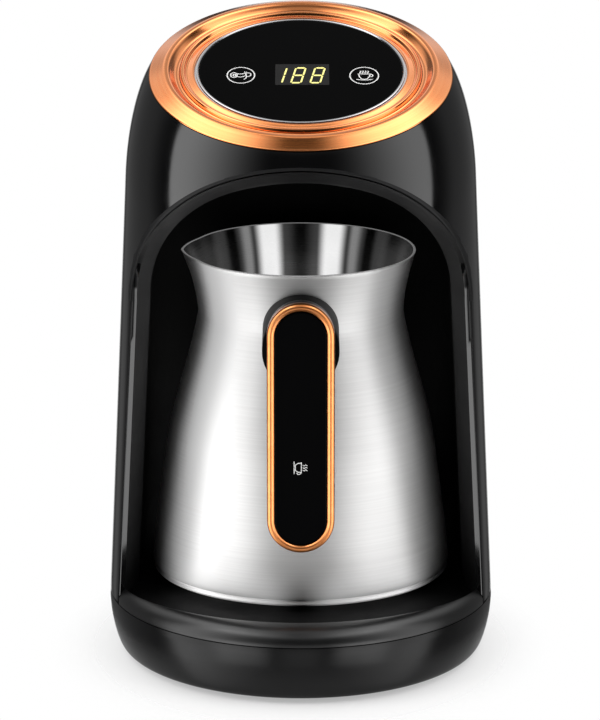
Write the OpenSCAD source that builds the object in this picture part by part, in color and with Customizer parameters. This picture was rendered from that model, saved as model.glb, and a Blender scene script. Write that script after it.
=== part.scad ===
// Electric coffee maker for pot-brewed coffee: a round tapered body with an arched alcove,
// a steel pot standing on a heating plate, and a tilted touch panel in a copper-coloured ring.
// Millimetres. +Z is up, the front faces -Y, the origin is under the middle of the body.

/* [Body] */
// Width of the body at the seam above the base
body_w = 140; // [130:1:150]
// Distance from the widest line to the front
body_front = 76; // [72:1:80]
// Depth of the space behind the alcove, wall included
service_depth = 24.2; // [22:0.2:28]
// Height of the seam between base and body
seam_h = 22; // [21:0.5:24]
// Wall of the body shell
shell_wall = 2.5; // [2:0.1:3]
// How far the side leans in for each millimetre of height
side_draft = 0.0445; // [0.035:0.001:0.055]
// How far the back leans in for each millimetre of height
back_draft = 0.07; // [0.05:0.01:0.09]
// Height at which the side starts to round over
shoulder_from = 178.8; // [170:1:185]
// Height at which the back starts to round over
back_shoulder_from = 154; // [145:1:165]
// Height at which the body starts to lean forward
lean_from = 89; // [80:1:100]
// Distance of the rear cover's split behind the widest line
rear_split = 52; // [50:1:58]
// Clearance between pieces that sit against each other
fit_gap = 0.2; // [0.15:0.05:0.3]

/* [Top ring] */
// Height of the ring's centre
ring_h = 214.3; // [210:0.5:220]
// Outer radius of the ring
ring_r = 54.35; // [52:0.1:56]
// Forward tilt of the ring in degrees
ring_lean = 18.2; // [15:0.2:20]
// How far the ring's centre sits forward of the widest line
ring_forward = 5.3; // [3:0.1:7]
// Radius of the ring's crest
crest_r = 48.6; // [47.6:0.1:49.6]
// Height of the crest over the ring's lower edge
crest_h = 3.2; // [2.8:0.1:4]
// Radius where the outer ring meets the inner ring
ring_split_r = 43.5; // [43.2:0.1:44]
// Inner radius of the inner ring
ring_in_r = 38.1; // [37.6:0.1:38.6]
// Radius of the black lens
lens_r = 36.4; // [35.8:0.1:36.6]
// Thickness of the lens
lens_t = 2; // [1.5:0.1:2.4]
// Height of the lens face over the ring's lower edge
lens_h = 2; // [1.6:0.1:2.4]
// Depth of the tray under the rings
tray_depth = 14.5; // [13.5:0.5:15.5]

/* [Alcove] */
// Height of the arch's crown
crown_h = 191; // [188:0.5:192]
// Radius of the arch over the middle
crown_r = 75; // [72:1:80]
// Radius of the arch at its haunches
haunch_r = 54; // [50:1:56]
// How far the arch's side, where it begins, stays inside the body's widest line
arch_margin = 9; // [8:0.5:10]
// How far the arch's side leans out for each millimetre down
arch_spread = 0.05; // [0.04:0.005:0.055]
// Width of the bezel round the arch
bezel_w = 7; // [6:0.5:7.5]
// Thickness of the bezel
bezel_t = 2.4; // [2:0.1:3]
// Wall of the alcove liner
liner_wall = 2; // [1.6:0.1:2.2]
// How far the liner's front edge lies outside the alcove's radius at its foot
liner_front_out = 2.8; // [2.4:0.1:3.6]

/* [Base] */
// Height of the body over the table
foot_gap = 1.8; // [1.4:0.1:2.4]
// How far the skirt pulls in at its foot
skirt_in = 5; // [4:0.5:6]
// Wall of the base pan
pan_wall = 2.6; // [2.2:0.1:3]
// Top of the web that carries deck and liner
web_top = 20; // [19.5:0.5:20]
// Thickness of the web
web_t = 2; // [1.6:0.1:2.4]
// Height of the deck's crest
deck_h = 29; // [27:0.1:30]
// How far the dish reaches beyond the pot
dish_margin = 9.7; // [9:0.1:11]
// Height of the dish floor
dish_h = 23.4; // [23:0.1:23.8]
// Distance from the base's front edge back to the dish's lip
crest_w = 8.8; // [8:0.2:10]
// Width of the round between dish floor and lip
dish_round = 5; // [4:0.5:6]
// Thickness of the bottom cover
cover_t = 2; // [1.6:0.1:2.4]
// Diameter of a rubber foot
foot_d = 16; // [12:1:18]
// Bore of the cord gland
gland_bore = 6.6; // [5:0.2:7]

/* [Heater] */
// Radius of the heating plate
plate_r = 40; // [36:1:41]
// Height of the heating plate's face, on which the pot stands
plate_h = 25.6; // [25.2:0.1:26]
// Thickness of the heating plate
plate_t = 4; // [3.5:0.1:4.2]
// Radius of the heating element's loop
element_r = 30; // [28:0.5:31]
// Diameter of the element's sheath
element_d = 6.5; // [6:0.1:7]
// Diameter of the sensor plunger's cap
plunger_d = 10; // [9:0.2:11]
// How far the plunger stands over the plate
plunger_rise = 1; // [0.6:0.1:1.2]
// Travel of the plunger
plunger_travel = 2; // [1:0.1:2.4]
// Diameter of the plunger's stem
stem_d = 4; // [3:0.2:4.6]
// Wire of the plunger spring
spring_wire = 0.8; // [0.6:0.1:1]

/* [Pot] */
// Distance of the pot's axis behind the widest line
pot_back = 16; // [15:0.5:17]
// Gap between the pot at its widest and the alcove's wall
pot_gap = 4.5; // [3.6:0.1:6]
// Radius of the pot's neck
neck_r = 37.6; // [36.6:0.2:39]
// Radius of the pot's rim
rim_r = 42.2; // [41:0.2:43]
// Height of the pot's neck
neck_h = 122.5; // [118:0.5:125]
// Height of the pot's rim
rim_h = 145.5; // [143:0.5:148]
// Wall of the pot
pot_wall = 1; // [0.8:0.1:1.4]
// How far the spout's tip stands out of the rim
spout_out = 1.8; // [0.5:0.1:3]
// Thickness of the base disc
disc_t = 2; // [1.6:0.1:2.4]
// Gap for the fingers between the handle and the pot at its widest
finger_gap = 12.2; // [10:0.2:13]
// Width of the handle
handle_w = 24; // [22:0.5:25]
// Height of the handle's top
handle_top = 144; // [142:0.5:146]
// Length of the handle
handle_len = 91; // [86:1:92]
// Depth of the handle from face to back
handle_t = 11; // [10:0.5:12]
// Width of the copper band round the handle's face
band_w = 2.8; // [2.2:0.1:3.2]
// Depth of the copper band
band_t = 4; // [3:0.2:5]
// Width of the collar behind the handle
collar_w = 27.4; // [26:0.2:29]
// Height of the collar's top
collar_top = 138.5; // [136:0.5:142]
// Height of the collar
collar_len = 28.5; // [27:0.5:31]
// Thickness of the steel bracket on the neck
bracket_t = 1.4; // [1.2:0.1:1.8]

/* [Hidden] */
$fn = 96;

half_w = body_w / 2;
arch_half_w = half_w - arch_margin;
haunch_x = arch_half_w - haunch_r;
crown_z = crown_h - crown_r;
haunch_z = crown_z + sqrt(pow(crown_r - haunch_r, 2) - haunch_x * haunch_x);
haunch_turn = atan2(haunch_z - crown_z, haunch_x);
// half width of the room round the pot at height z
function room_r(z) = arch_side(bezel_w, z);
body_back = pot_back + room_r(web_top) + service_depth;
axis_y = -(body_back - body_front) / 2;
pot_y = axis_y + pot_back;
split_y = axis_y + rear_split;
liner_front_r = room_r(web_top) + liner_front_out;
body_foot = plate_h + disc_t;
belly_h = body_foot + 2.6;
pot_r = room_r(belly_h) - pot_gap;
dish_r = pot_r + dish_margin - 1;
dish_front_r = body_front - crest_w;
ring_y = axis_y - ring_forward;
columns = 72;
over = 1;                 // how far a cutter runs past what it cuts
groove = 0.35;            // open line between base and shell
shell_foot = seam_h + groove;

// ---------------------------------------------------------------- body form

// 0 to 1 with flat ends
function ease(t) = let (c = min(max(t, 0), 1)) c * c * (3 - 2 * c);

// quarter of an ellipse from 0 to 1, stopped where its slope is still finite
function round_over(t, c) =
    let (s = min(max(t, 0), 1)) (1 - sqrt(1 - c * c * s * s)) / (1 - sqrt(1 - c * c));

function rise(h) = ease((h - lean_from) / (ring_h - lean_from));
function side_at(h) =
    let (upright = half_w - side_draft * (h - seam_h),
         top = half_w - side_draft * (ring_h - seam_h))
    upright - (top - ring_r) * round_over((h - shoulder_from) / (ring_h - shoulder_from), 0.85);
function front_at(h) = side_at(h) * (1 + (body_front / half_w - 1) * (1 - rise(h)));
function back_at(h) =
    let (top = body_back - back_draft * (ring_h - seam_h),
         t = (h - back_shoulder_from) / (ring_h - back_shoulder_from))
    body_back - back_draft * (h - seam_h) - (top - ring_r) * round_over(t, 0.9);

// a point of the body's surface: section height, angle round the body, depth under the surface
function body_point(h, a, inset) =
    let (tilt = ring_lean * rise(h),
         across = (side_at(h) - inset) * cos(a),
         along = ((sin(a) < 0 ? front_at(h) : back_at(h)) - inset) * sin(a))
    [across, axis_y - ring_forward * rise(h) + along * cos(tilt), h + along * sin(tilt)];

// section height at which the front surface passes through [x, z]
function front_section(x, z, low, high, left) =
    let (mid = (low + high) / 2,
         side = side_at(mid),
         along = front_at(mid) * sqrt(max(1 - x * x / (side * side), 0)),
         here = mid - along * sin(ring_lean * rise(mid)))
    left == 0 ? mid
    : here > z ? front_section(x, z, low, mid, left - 1)
    : front_section(x, z, mid, high, left - 1);

// y of the front surface at [x, z]
function front_y(x, z) =
    let (h = front_section(x, z, seam_h, ring_h, 22),
         side = side_at(h),
         along = front_at(h) * sqrt(max(1 - x * x / (side * side), 0)))
    axis_y - ring_forward * rise(h) - along * cos(ring_lean * rise(h));

// Ring-shaped solid: rows of points, each row a loop seen anticlockwise from above. The rows go
// up the outside and down the inside, and the last row joins the first.
module ring_of_rows(rows) {
    n = len(rows[0]);
    m = len(rows);
    polyhedron(
        points = [for (row = rows) for (p = row) p],
        faces = [for (i = [0 : m - 1]) for (j = [0 : n - 1])
            let (i2 = (i + 1) % m, j2 = (j + 1) % n, a = i * n + j, b = i * n + j2,
                 c = i2 * n + j2, d = i2 * n + j)
            each [[a, c, b], [a, d, c]]],
        convexity = 8);
}

// Section heights of the shell, closer together where it rounds over
function shell_heights(foot, top) =
    concat([for (k = [0 : 5]) foot + (shoulder_from - 30 - foot) * k / 5],
           [for (k = [1 : 11]) shoulder_from - 30 + (top - shoulder_from + 30) * sin(90 * k / 11)]);

// The whole shell, from its foot on the base to the rim under the ring
module shell_body() {
    out = shell_heights(shell_foot, ring_h);
    in_step = 3;
    inner = [for (k = [len(out) - 1 : -in_step : 0]) out[k], shell_foot];
    ring_of_rows(concat(
        [for (h = out) [for (j = [0 : columns - 1]) body_point(h, j * 360 / columns, 0)]],
        [for (h = inner) [for (j = [0 : columns - 1])
            body_point(h, j * 360 / columns, shell_wall)]]));
}

// Plan outline of the base, pulled in by inset
function base_outline(inset) = [for (j = [0 : columns - 1])
    let (a = j * 360 / columns)
    [(half_w - inset) * cos(a), axis_y + ((sin(a) < 0 ? body_front : body_back) - inset) * sin(a)]];

// Ring whose section is a closed profile of [inset, height] points, listed down the outside
// and up the inside
module base_ring(profile) {
    ring_of_rows([for (k = [len(profile) - 1 : -1 : 0])
        [for (q = base_outline(profile[k][0])) [q[0], q[1], profile[k][1]]]]);
}

// Puts children in the plane of the top ring
module at_ring() {
    translate([0, ring_y, ring_h]) rotate([ring_lean, 0, 0]) children();
}

// ---------------------------------------------------------------- arch

function arch_side(inset, z) = arch_half_w - inset + arch_spread * (haunch_z - z);

// Area under the arch, pulled in by inset, standing on z = foot
module arch_area(inset, foot) {
    reach = crown_r * 1.2;
    polygon([[-arch_side(inset, foot), foot], [arch_side(inset, foot), foot],
             [arch_side(inset, haunch_z), haunch_z], [-arch_side(inset, haunch_z), haunch_z]]);
    for (side = [-1, 1]) translate([side * haunch_x, haunch_z]) circle(haunch_r - inset);
    intersection() {
        translate([0, crown_z]) circle(crown_r - inset);
        polygon([[0, crown_z],
                 [reach * cos(haunch_turn), crown_z + reach * sin(haunch_turn)],
                 [-reach * cos(haunch_turn), crown_z + reach * sin(haunch_turn)]]);
    }
}

// The arch as a solid from y0 to y1
module arch_solid(inset, foot, y0, y1) {
    translate([0, y1, 0]) rotate([90, 0, 0]) linear_extrude(y1 - y0) arch_area(inset, foot);
}

// The arch's line as [x, z] points from the left foot to the right foot
function arch_line(inset, foot) =
    let (straight = 5, bend = 12, top = 8)
    concat(
        [for (k = [0 : straight - 1]) let (z = foot + (haunch_z - foot) * k / straight)
            [-arch_side(inset, z), z]],
        [for (k = [0 : bend]) let (a = 180 - haunch_turn * k / bend)
            [-haunch_x + (haunch_r - inset) * cos(a), haunch_z + (haunch_r - inset) * sin(a)]],
        [for (k = [1 : top - 1]) let (a = 180 - haunch_turn - (180 - 2 * haunch_turn) * k / top)
            [(crown_r - inset) * cos(a), crown_z + (crown_r - inset) * sin(a)]],
        [for (k = [0 : bend]) let (a = haunch_turn - haunch_turn * k / bend)
            [haunch_x + (haunch_r - inset) * cos(a), haunch_z + (haunch_r - inset) * sin(a)]],
        [for (k = [1 : straight]) let (z = haunch_z - (haunch_z - foot) * k / straight)
            [arch_side(inset, z), z]]);

// The room round the pot as a solid grown by extra
module room(extra, foot, front) {
    top = crown_h;
    translate([0, pot_y, foot])
        cylinder(h = top - foot, r1 = room_r(foot) + extra, r2 = room_r(top) + extra);
    translate([0, pot_y, 0]) rotate([90, 0, 0]) linear_extrude(front)
        polygon([[-room_r(foot) - extra, foot], [room_r(foot) + extra, foot],
                 [room_r(top) + extra, top], [-room_r(top) - extra, top]]);
}

// ---------------------------------------------------------------- small parts

// Pan-head screw pointing down from the origin, head above
module screw(d, length, head_d, head_h) {
    difference() {
        union() {
            translate([0, 0, -length]) cylinder(h = length + 0.1, d = d, $fn = 24);
            cylinder(h = head_h, d = head_d, $fn = 32);
        }
        for (turn = [0, 90]) rotate([0, 0, turn])
            translate([-head_d * 0.3, -0.4, head_h - 0.8]) cube([head_d * 0.6, 0.8, over]);
    }
}
screw_d = 3;
screw_head_d = 5.6;
screw_head_h = 2;
small_head_d = 5;
shell_screw_bite = 4;     // how far a shell screw reaches into its lug
low_head_h = 1.2;
base_screw_len = 11;
clamp_screw_len = 6;
handle_screw_len = 9;
tray_screw_len = 3.8;
tray_screw_h = 1.4;
board_screw_d = 1.9;
board_screw_len = 5;
board_screw_head_d = 4.4;
board_screw_head_h = 1.5;

// A round lead through points, as one swept tube
module lead(points, d) {
    sides = 8;
    m = len(points);
    function direction(k) = let (v = points[min(k + 1, m - 1)] - points[max(k - 1, 0)]) v / norm(v);
    function loop(k) =
        let (f = direction(k), r = cross(f, [0, 0.3, 1]), u = r / norm(r), w = cross(u, f))
        [for (j = [0 : sides - 1]) points[k] + d / 2 * (u * cos(j * 360 / sides) + w * sin(j * 360 / sides))];
    polyhedron(
        points = [for (k = [0 : m - 1]) each loop(k)],
        faces = concat(
            [[for (j = [0 : sides - 1]) j]],
            [[for (j = [sides - 1 : -1 : 0]) (m - 1) * sides + j]],
            [for (k = [0 : m - 2]) for (j = [0 : sides - 1])
                let (j2 = (j + 1) % sides, a = k * sides + j, b = k * sides + j2)
                each [[a, a + sides, b], [b, a + sides, b + sides]]]));
}

// ---------------------------------------------------------------- base

pan_floor = foot_gap + cover_t;
heater_room = 10;         // how far the web's hole is wider than the heating plate
screw_spots = [for (side = [-1, 1]) each [[side * (half_w - 28), axis_y - body_front + 34],
    [side * (half_w - 24), axis_y + body_back - 42]]];
foot_spots = [for (side = [-1, 1]) each [[side * (half_w - 40), axis_y - body_front + 34],
    [side * (half_w - 40), axis_y + body_back - 38]]];
// where screws hold the shell and the rear cover down, as [x, y]
lug_w = 7;
lug_h = 7;
shell_spots = [for (side = [-1, 1]) [side * (half_w - 14.6), split_y - fit_gap - lug_w / 2 - 0.3]];
rear_spots = [for (side = [-1, 1]) [side * (half_w - 40), axis_y + body_back - 20]];
lead_slot_y = axis_y + body_back - 16;
lead_gap = 5;             // from the power board's back to its leads
gland_z = 11;
gland_d = gland_bore + 3.4;
gland_face_y = axis_y + body_back - 0.2;
gland_len = 13;
gland_rim_d = gland_d + 3;
gland_rim_t = 1.6;

module base_pan() {
    wall = pan_wall;
    tall = seam_h - foot_gap;
    color("#232325") difference() {
        union() {
            base_ring([
                [1, shell_foot], [1, seam_h], [0.1, seam_h],
                [0, seam_h - 0.15 * tall],
                [skirt_in * 0.1, seam_h - 0.4 * tall],
                [skirt_in * 0.32, seam_h - 0.66 * tall],
                [skirt_in * 0.62, seam_h - 0.88 * tall],
                [skirt_in * 0.9, foot_gap + 0.5],
                [skirt_in + 1, foot_gap],
                [skirt_in + 5, foot_gap], [skirt_in + 5, pan_floor],
                [skirt_in + 1.4, pan_floor],
                [skirt_in * 0.62 + wall, seam_h - 0.8 * tall],
                [skirt_in * 0.1 + wall, seam_h - 0.4 * tall],
                [wall, web_top - web_t], [wall, shell_foot]]);
            difference() {
                translate([0, 0, web_top - web_t]) linear_extrude(web_t)
                    polygon(base_outline(wall - 0.4));
                translate([0, pot_y, 0]) cylinder(h = seam_h, r = plate_r + heater_room);
            }
            for (spot = screw_spots) translate([spot[0], spot[1], pan_floor])
                cylinder(h = web_top - web_t - pan_floor, d = 8, $fn = 32);
        }
        for (spot = screw_spots) translate([spot[0], spot[1], 0])
            cylinder(h = foot_gap + base_screw_len + 1.2, d = screw_d - 0.3, $fn = 32);
        for (spot = concat(shell_spots, rear_spots)) translate([spot[0], spot[1], web_top - web_t - over])
            cylinder(h = web_t + 2 * over, d = screw_d + 0.4, $fn = 32);
        translate([-14, lead_slot_y - 4, web_top - web_t - over]) cube([28, 8, web_t + 2 * over]);
        translate([0, axis_y + body_back + 5, gland_z]) rotate([90, 0, 0])
            cylinder(h = 14, d = gland_d + 2 * fit_gap);
        translate([0, gland_face_y - gland_rim_t - fit_gap, gland_z]) rotate([-90, 0, 0])
            cylinder(h = 10, d = gland_rim_d + 2 * fit_gap);
    }
}

module bottom_cover() {
    slot_count = 7;
    color("#2a2a2c") difference() {
        translate([0, 0, foot_gap]) linear_extrude(cover_t)
            polygon(base_outline(skirt_in + 5 + fit_gap));
        for (spot = screw_spots) translate([spot[0], spot[1], 0])
            cylinder(h = 10, d = screw_d + 0.4, $fn = 32);
        for (spot = foot_spots) translate([spot[0], spot[1], foot_gap - over])
            cylinder(h = over + foot_in_cover, d = foot_d + 2 * fit_gap);
        for (k = [0 : slot_count - 1]) translate([(k - (slot_count - 1) / 2) * 7 - 1.25, pot_y - 16, 0])
            cube([2.5, 32, 10]);
    }
}

foot_edge = 1.2;
foot_in_cover = 1;
module rubber_feet() {
    color("#303032") for (spot = foot_spots) translate([spot[0], spot[1], 0]) rotate_extrude()
        polygon([[0, 0], [foot_d / 2 - foot_edge, 0], [foot_d / 2, foot_edge],
                 [foot_d / 2, foot_gap + foot_in_cover], [0, foot_gap + foot_in_cover]]);
}

module base_screws() {
    color("#8d9095") for (spot = screw_spots) translate([spot[0], spot[1], foot_gap])
        rotate([180, 0, 0]) screw(screw_d - 0.4, base_screw_len, screw_head_d, low_head_h);
}

// Plan of the deck: the base's outline in front, then in along the bezel and round the alcove
deck_gap = fit_gap + 0.1;
jamb_out = arch_side(0, seam_h);
jamb_in = arch_side(bezel_w, seam_h);
jamb_out_y = front_y(jamb_out, seam_h + 0.5);
jamb_in_y = pot_y - sqrt(liner_front_r * liner_front_r - jamb_in * jamb_in);
module deck_plan() {
    polygon([[-jamb_out + deck_gap, jamb_out_y - over], [-jamb_out + deck_gap, axis_y - body_front - over],
             [jamb_out - deck_gap, axis_y - body_front - over], [jamb_out - deck_gap, jamb_out_y - over],
             [jamb_in - deck_gap, jamb_in_y], [jamb_in - deck_gap, pot_y],
             [-jamb_in + deck_gap, pot_y], [-jamb_in + deck_gap, jamb_in_y]]);
    translate([0, pot_y]) circle(jamb_in - deck_gap);
}

deck_foot = seam_h + groove;
// Space over the dish's floor round one centre: flat floor, rounded up to the lip
module dish_bowl(r, y) {
    translate([0, y, 0]) rotate_extrude() polygon(concat(
        [[0, dish_h]],
        [for (k = [0 : 6]) let (a = 90 * k / 6)
            [r - dish_round * (1 - sin(a)), dish_h + (deck_h - dish_h) * (1 - cos(a))]],
        [[r, deck_h + over], [0, deck_h + over]]));
}

module base_deck() {
    steps = 9;
    crest_curve = 2.1;    // 2 is a quarter of an ellipse, more is fuller
    clamp_r = plate_r + 5;
    color("#151516") difference() {
        union() {
            intersection() {
                ring_of_rows(concat(
                    [for (k = [0 : steps]) let (t = 1 - cos(90 * k / steps), inset = 0.1 + crest_w * t)
                        [for (q = base_outline(inset)) [q[0], q[1],
                            deck_foot + (deck_h - deck_foot) * pow(1 - pow(1 - t, crest_curve), 1 / crest_curve)]]],
                    [[for (q = base_outline(half_w - 1)) [q[0], q[1], deck_h]]],
                    [[for (q = base_outline(half_w - 1)) [q[0], q[1], web_top]]],
                    [[for (q = base_outline(pan_wall + fit_gap)) [q[0], q[1], web_top]]],
                    [[for (q = base_outline(pan_wall + fit_gap)) [q[0], q[1], deck_foot]]]));
                translate([0, 0, web_top - over]) linear_extrude(deck_h - web_top + 2 * over) deck_plan();
            }
            for (k = [0 : 2]) translate([0, pot_y, 0]) rotate([0, 0, 120 * k + 30])
                translate([clamp_r, 0, clamp_top]) cylinder(h = dish_h - 1 - clamp_top, d = 7, $fn = 32);
        }
        dish_bowl(dish_r, pot_y);
        dish_bowl(dish_front_r, axis_y);
        translate([0, pot_y, web_top - over]) cylinder(h = 10, r = plate_r + 1.4);
        for (k = [0 : 2]) translate([0, pot_y, 0]) rotate([0, 0, 120 * k + 30])
            translate([clamp_r, 0, clamp_top - over]) cylinder(h = 7, d = screw_d - 0.3, $fn = 32);
    }
}

module cord_gland() {
    color("#19191a") translate([0, gland_face_y, gland_z]) rotate([90, 0, 0]) difference() {
        union() {
            cylinder(h = gland_rim_t, d = gland_rim_d);
            cylinder(h = gland_len, d = gland_d);
            translate([0, 0, 6.4]) cylinder(h = 3, d = gland_rim_d);
        }
        translate([0, 0, -over]) cylinder(h = gland_len + 2 * over, d = gland_bore);
    }
}

// ---------------------------------------------------------------- heater

plate_foot = plate_h - plate_t;
clamp_top = plate_foot - element_d;
clamp_t = 1.5;
slide_gap = 0.16;         // play of the plunger on the diameter
guide_bore = plunger_d + slide_gap;
guide_d = guide_bore + 2.4;
guide_foot = clamp_top - clamp_t - 3;
guide_top = plate_h - 1;
plunger_cap = 3;

module heating_plate() {
    color("#3a3b3d") translate([0, pot_y, 0]) difference() {
        union() {
            translate([0, 0, plate_foot]) cylinder(h = plate_t - 0.6, r = plate_r);
            translate([0, 0, plate_h - 0.6]) cylinder(h = 0.6, r1 = plate_r, r2 = plate_r - 0.6);
        }
        translate([0, 0, plate_foot - over]) cylinder(h = plate_t + 2 * over, d = guide_d + 0.4);
    }
}

module heating_element() {
    color("#9c9ea1") translate([0, pot_y, plate_foot - element_d / 2]) {
        rotate([0, 0, 110]) rotate_extrude(angle = 320)
            translate([element_r, 0]) circle(d = element_d, $fn = 24);
        for (turn = [110, 70]) rotate([0, 0, turn]) translate([element_r, 0, -clamp_drop])
            cylinder(h = clamp_drop, d = element_d - 2.5, $fn = 24);
    }
}
clamp_drop = 7;

module plate_seal() {
    color("#5a2f2a") translate([0, pot_y, 0]) difference() {
        translate([0, 0, plate_foot]) cylinder(h = dish_h - plate_foot + 0.6, r = plate_r + 1.2);
        translate([0, 0, plate_foot - over]) cylinder(h = plate_t + 4, r = plate_r + 0.2);
    }
}

module plate_clamp() {
    color("#b9bbbe") translate([0, pot_y, clamp_top - clamp_t]) difference() {
        union() {
            difference() {
                cylinder(h = clamp_t, r = element_r + element_d / 2 + 1.5);
                translate([0, 0, -over])
                    cylinder(h = clamp_t + 2 * over, r = element_r - element_d / 2 - 1.5);
            }
            for (k = [0 : 2]) rotate([0, 0, 120 * k + 30]) {
                translate([guide_d / 2 - 0.4, -5, 0]) cube([plate_r + 5 - guide_d / 2, 10, clamp_t]);
                translate([plate_r + 5, 0, 0]) cylinder(h = clamp_t, d = 10);
            }
            cylinder(h = clamp_t, d = guide_d + 4);
        }
        for (k = [0 : 2]) rotate([0, 0, 120 * k + 30]) translate([plate_r + 5, 0, -over])
            cylinder(h = clamp_t + 2 * over, d = screw_d + 0.4, $fn = 32);
        translate([0, 0, -over]) cylinder(h = clamp_t + 2 * over, d = guide_d);
        for (turn = [110, 70]) rotate([0, 0, turn]) translate([element_r, 0, -over])
            cylinder(h = clamp_t + 2 * over, d = element_d, $fn = 24);
    }
}

module clamp_screws() {
    color("#8d9095") for (k = [0 : 2]) translate([0, pot_y, clamp_top - clamp_t]) rotate([0, 0, 120 * k + 30])
        translate([plate_r + 5, 0, 0]) rotate([180, 0, 0])
            screw(screw_d - 0.4, clamp_screw_len, screw_head_d, screw_head_h);
}

// Sleeve that guides the plunger, with a floor that carries the spring
module sensor_guide() {
    color("#d8d2c4") translate([0, pot_y, 0]) difference() {
        union() {
            translate([0, 0, guide_foot]) cylinder(h = guide_top - guide_foot, d = guide_d - 0.1);
            translate([0, 0, guide_foot]) cylinder(h = 3, d = guide_d + 3);
        }
        translate([0, 0, guide_foot + 1.6]) cylinder(h = 30, d = guide_bore);
        translate([0, 0, guide_foot - over]) cylinder(h = 4, d = stem_d + slide_gap);
    }
}

plunger_top = plate_h + plunger_rise;
module sensor_plunger() {
    stem_foot = guide_foot + plunger_travel - 5;
    color("#c9cbce") translate([0, pot_y, 0]) {
        translate([0, 0, plunger_top - plunger_cap]) cylinder(h = plunger_cap - 0.4, d = plunger_d);
        translate([0, 0, plunger_top - 0.4]) cylinder(h = 0.4, d1 = plunger_d, d2 = plunger_d - 0.8);
        translate([0, 0, stem_foot]) cylinder(h = plunger_top - plunger_cap - stem_foot + 0.1, d = stem_d);
    }
}

module sensor_spring() {
    turns = 5;
    steps = 12;
    gap = 0.05;
    low = guide_foot + 1.6 + spring_wire / 2 + gap;
    high = plunger_top - plunger_cap - spring_wire / 2 - gap;
    r = (stem_d + guide_bore) / 4;
    color("#a9acb0") lead([for (k = [0 : turns * steps]) let (t = k / (turns * steps), a = 360 * turns * t)
        [r * cos(a), pot_y + r * sin(a), low + (high - low) * t]], spring_wire);
}

module thermostat() {
    color("#1f2023") translate([0, pot_y + 15.5, 0]) {
        translate([0, 0, plate_foot - 6]) cylinder(h = 6, d = 13);
        for (side = [-1, 1]) translate([side * 4 - 1.5, -0.4, plate_foot - 12]) cube([3, 0.8, 6.1]);
    }
}

module thermal_fuse() {
    color("#c8c9ca") translate([-15, pot_y - 6, plate_foot - 2]) rotate([-90, 0, 0])
        union() {
            cylinder(h = 11, d = 4, $fn = 32);
            translate([0, 0, -5]) cylinder(h = 21, d = 1, $fn = 16);
        }
}

// ---------------------------------------------------------------- shells

// Half spaces in front of and behind the split of the rear cover
module slab(y0, y1) {
    translate([-half_w - 10, y0, -10]) cube([body_w + 20, y1 - y0, ring_h + 60]);
}

// the wall's surface, inset deep, low down where the body doesn't lean: y at [x, z] and x at [y, z]
function wall_y(x, z, inset) =
    axis_y + (back_at(z) - inset) * sqrt(1 - pow(x / (side_at(z) - inset), 2));
function wall_x(y, z, inset) =
    (side_at(z) - inset) * sqrt(1 - pow((y - axis_y) / (back_at(z) - inset), 2));

module main_shell() {
    ledge_t = 2;
    ledge_r = ring_r + 1.2;
    ledge_bore_r = 45;
    lug_end = wall_x(shell_spots[1][1] + lug_w / 2, shell_foot + lug_h, 1);
    color("#262628") difference() {
        union() {
            intersection() {
                shell_body();
                slab(axis_y - body_front - 10, split_y - fit_gap);
            }
            at_ring() difference() {
                translate([0, 0, tray_seat - ledge_t]) cylinder(h = ledge_t, r = ledge_r);
                translate([0, 0, tray_seat - ledge_t - over]) {
                    cylinder(h = ledge_t + 2 * over, r = ledge_bore_r);
                    for (k = [0 : 2]) rotate([0, 0, 120 * k + 90]) translate([tray_spot_r, 0, 0])
                        cylinder(h = ledge_t + 2 * over, d = screw_d - 0.3, $fn = 32);
                }
            }
            difference() {
                for (side = [0, 1]) mirror([side, 0, 0])
                    translate([lug_end - 9, shell_spots[1][1] - lug_w / 2, shell_foot])
                        cube([9, lug_w, lug_h]);
                room(liner_wall + fit_gap, web_top, 90);
            }
        }
        arch_solid(0, seam_h - over, axis_y - body_front - 10, axis_y);
        for (spot = shell_spots) translate([spot[0], spot[1], shell_foot - over])
            cylinder(h = 6, d = screw_d - 0.3, $fn = 32);
    }
}

module rear_cover() {
    vents = 6;
    vent_w = 34;
    vent_h = 2.6;
    vent_foot = 122;
    vent_pitch = 7;
    lug_end = wall_y(rear_spots[1][0] + lug_w / 2, shell_foot + lug_h, 1);
    color("#262628") difference() {
        union() {
            intersection() {
                shell_body();
                slab(split_y, axis_y + body_back + 10);
            }
            for (spot = rear_spots) translate([spot[0] - lug_w / 2, spot[1] - lug_w / 2, shell_foot])
                cube([lug_w, lug_end - spot[1] + lug_w / 2, lug_h]);
        }
        for (k = [0 : vents - 1]) translate([-vent_w / 2, split_y, vent_foot + vent_pitch * k])
            cube([vent_w, body_back, vent_h]);
        for (spot = rear_spots) translate([spot[0], spot[1], shell_foot - over])
            cylinder(h = 6, d = screw_d - 0.3, $fn = 32);
    }
}

module shell_screws() {
    color("#8d9095") for (spot = concat(shell_spots, rear_spots))
        translate([spot[0], spot[1], web_top - web_t]) rotate([180, 0, 0])
            screw(screw_d - 0.4, shell_foot - web_top + web_t + shell_screw_bite, small_head_d, screw_head_h);
}

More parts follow.
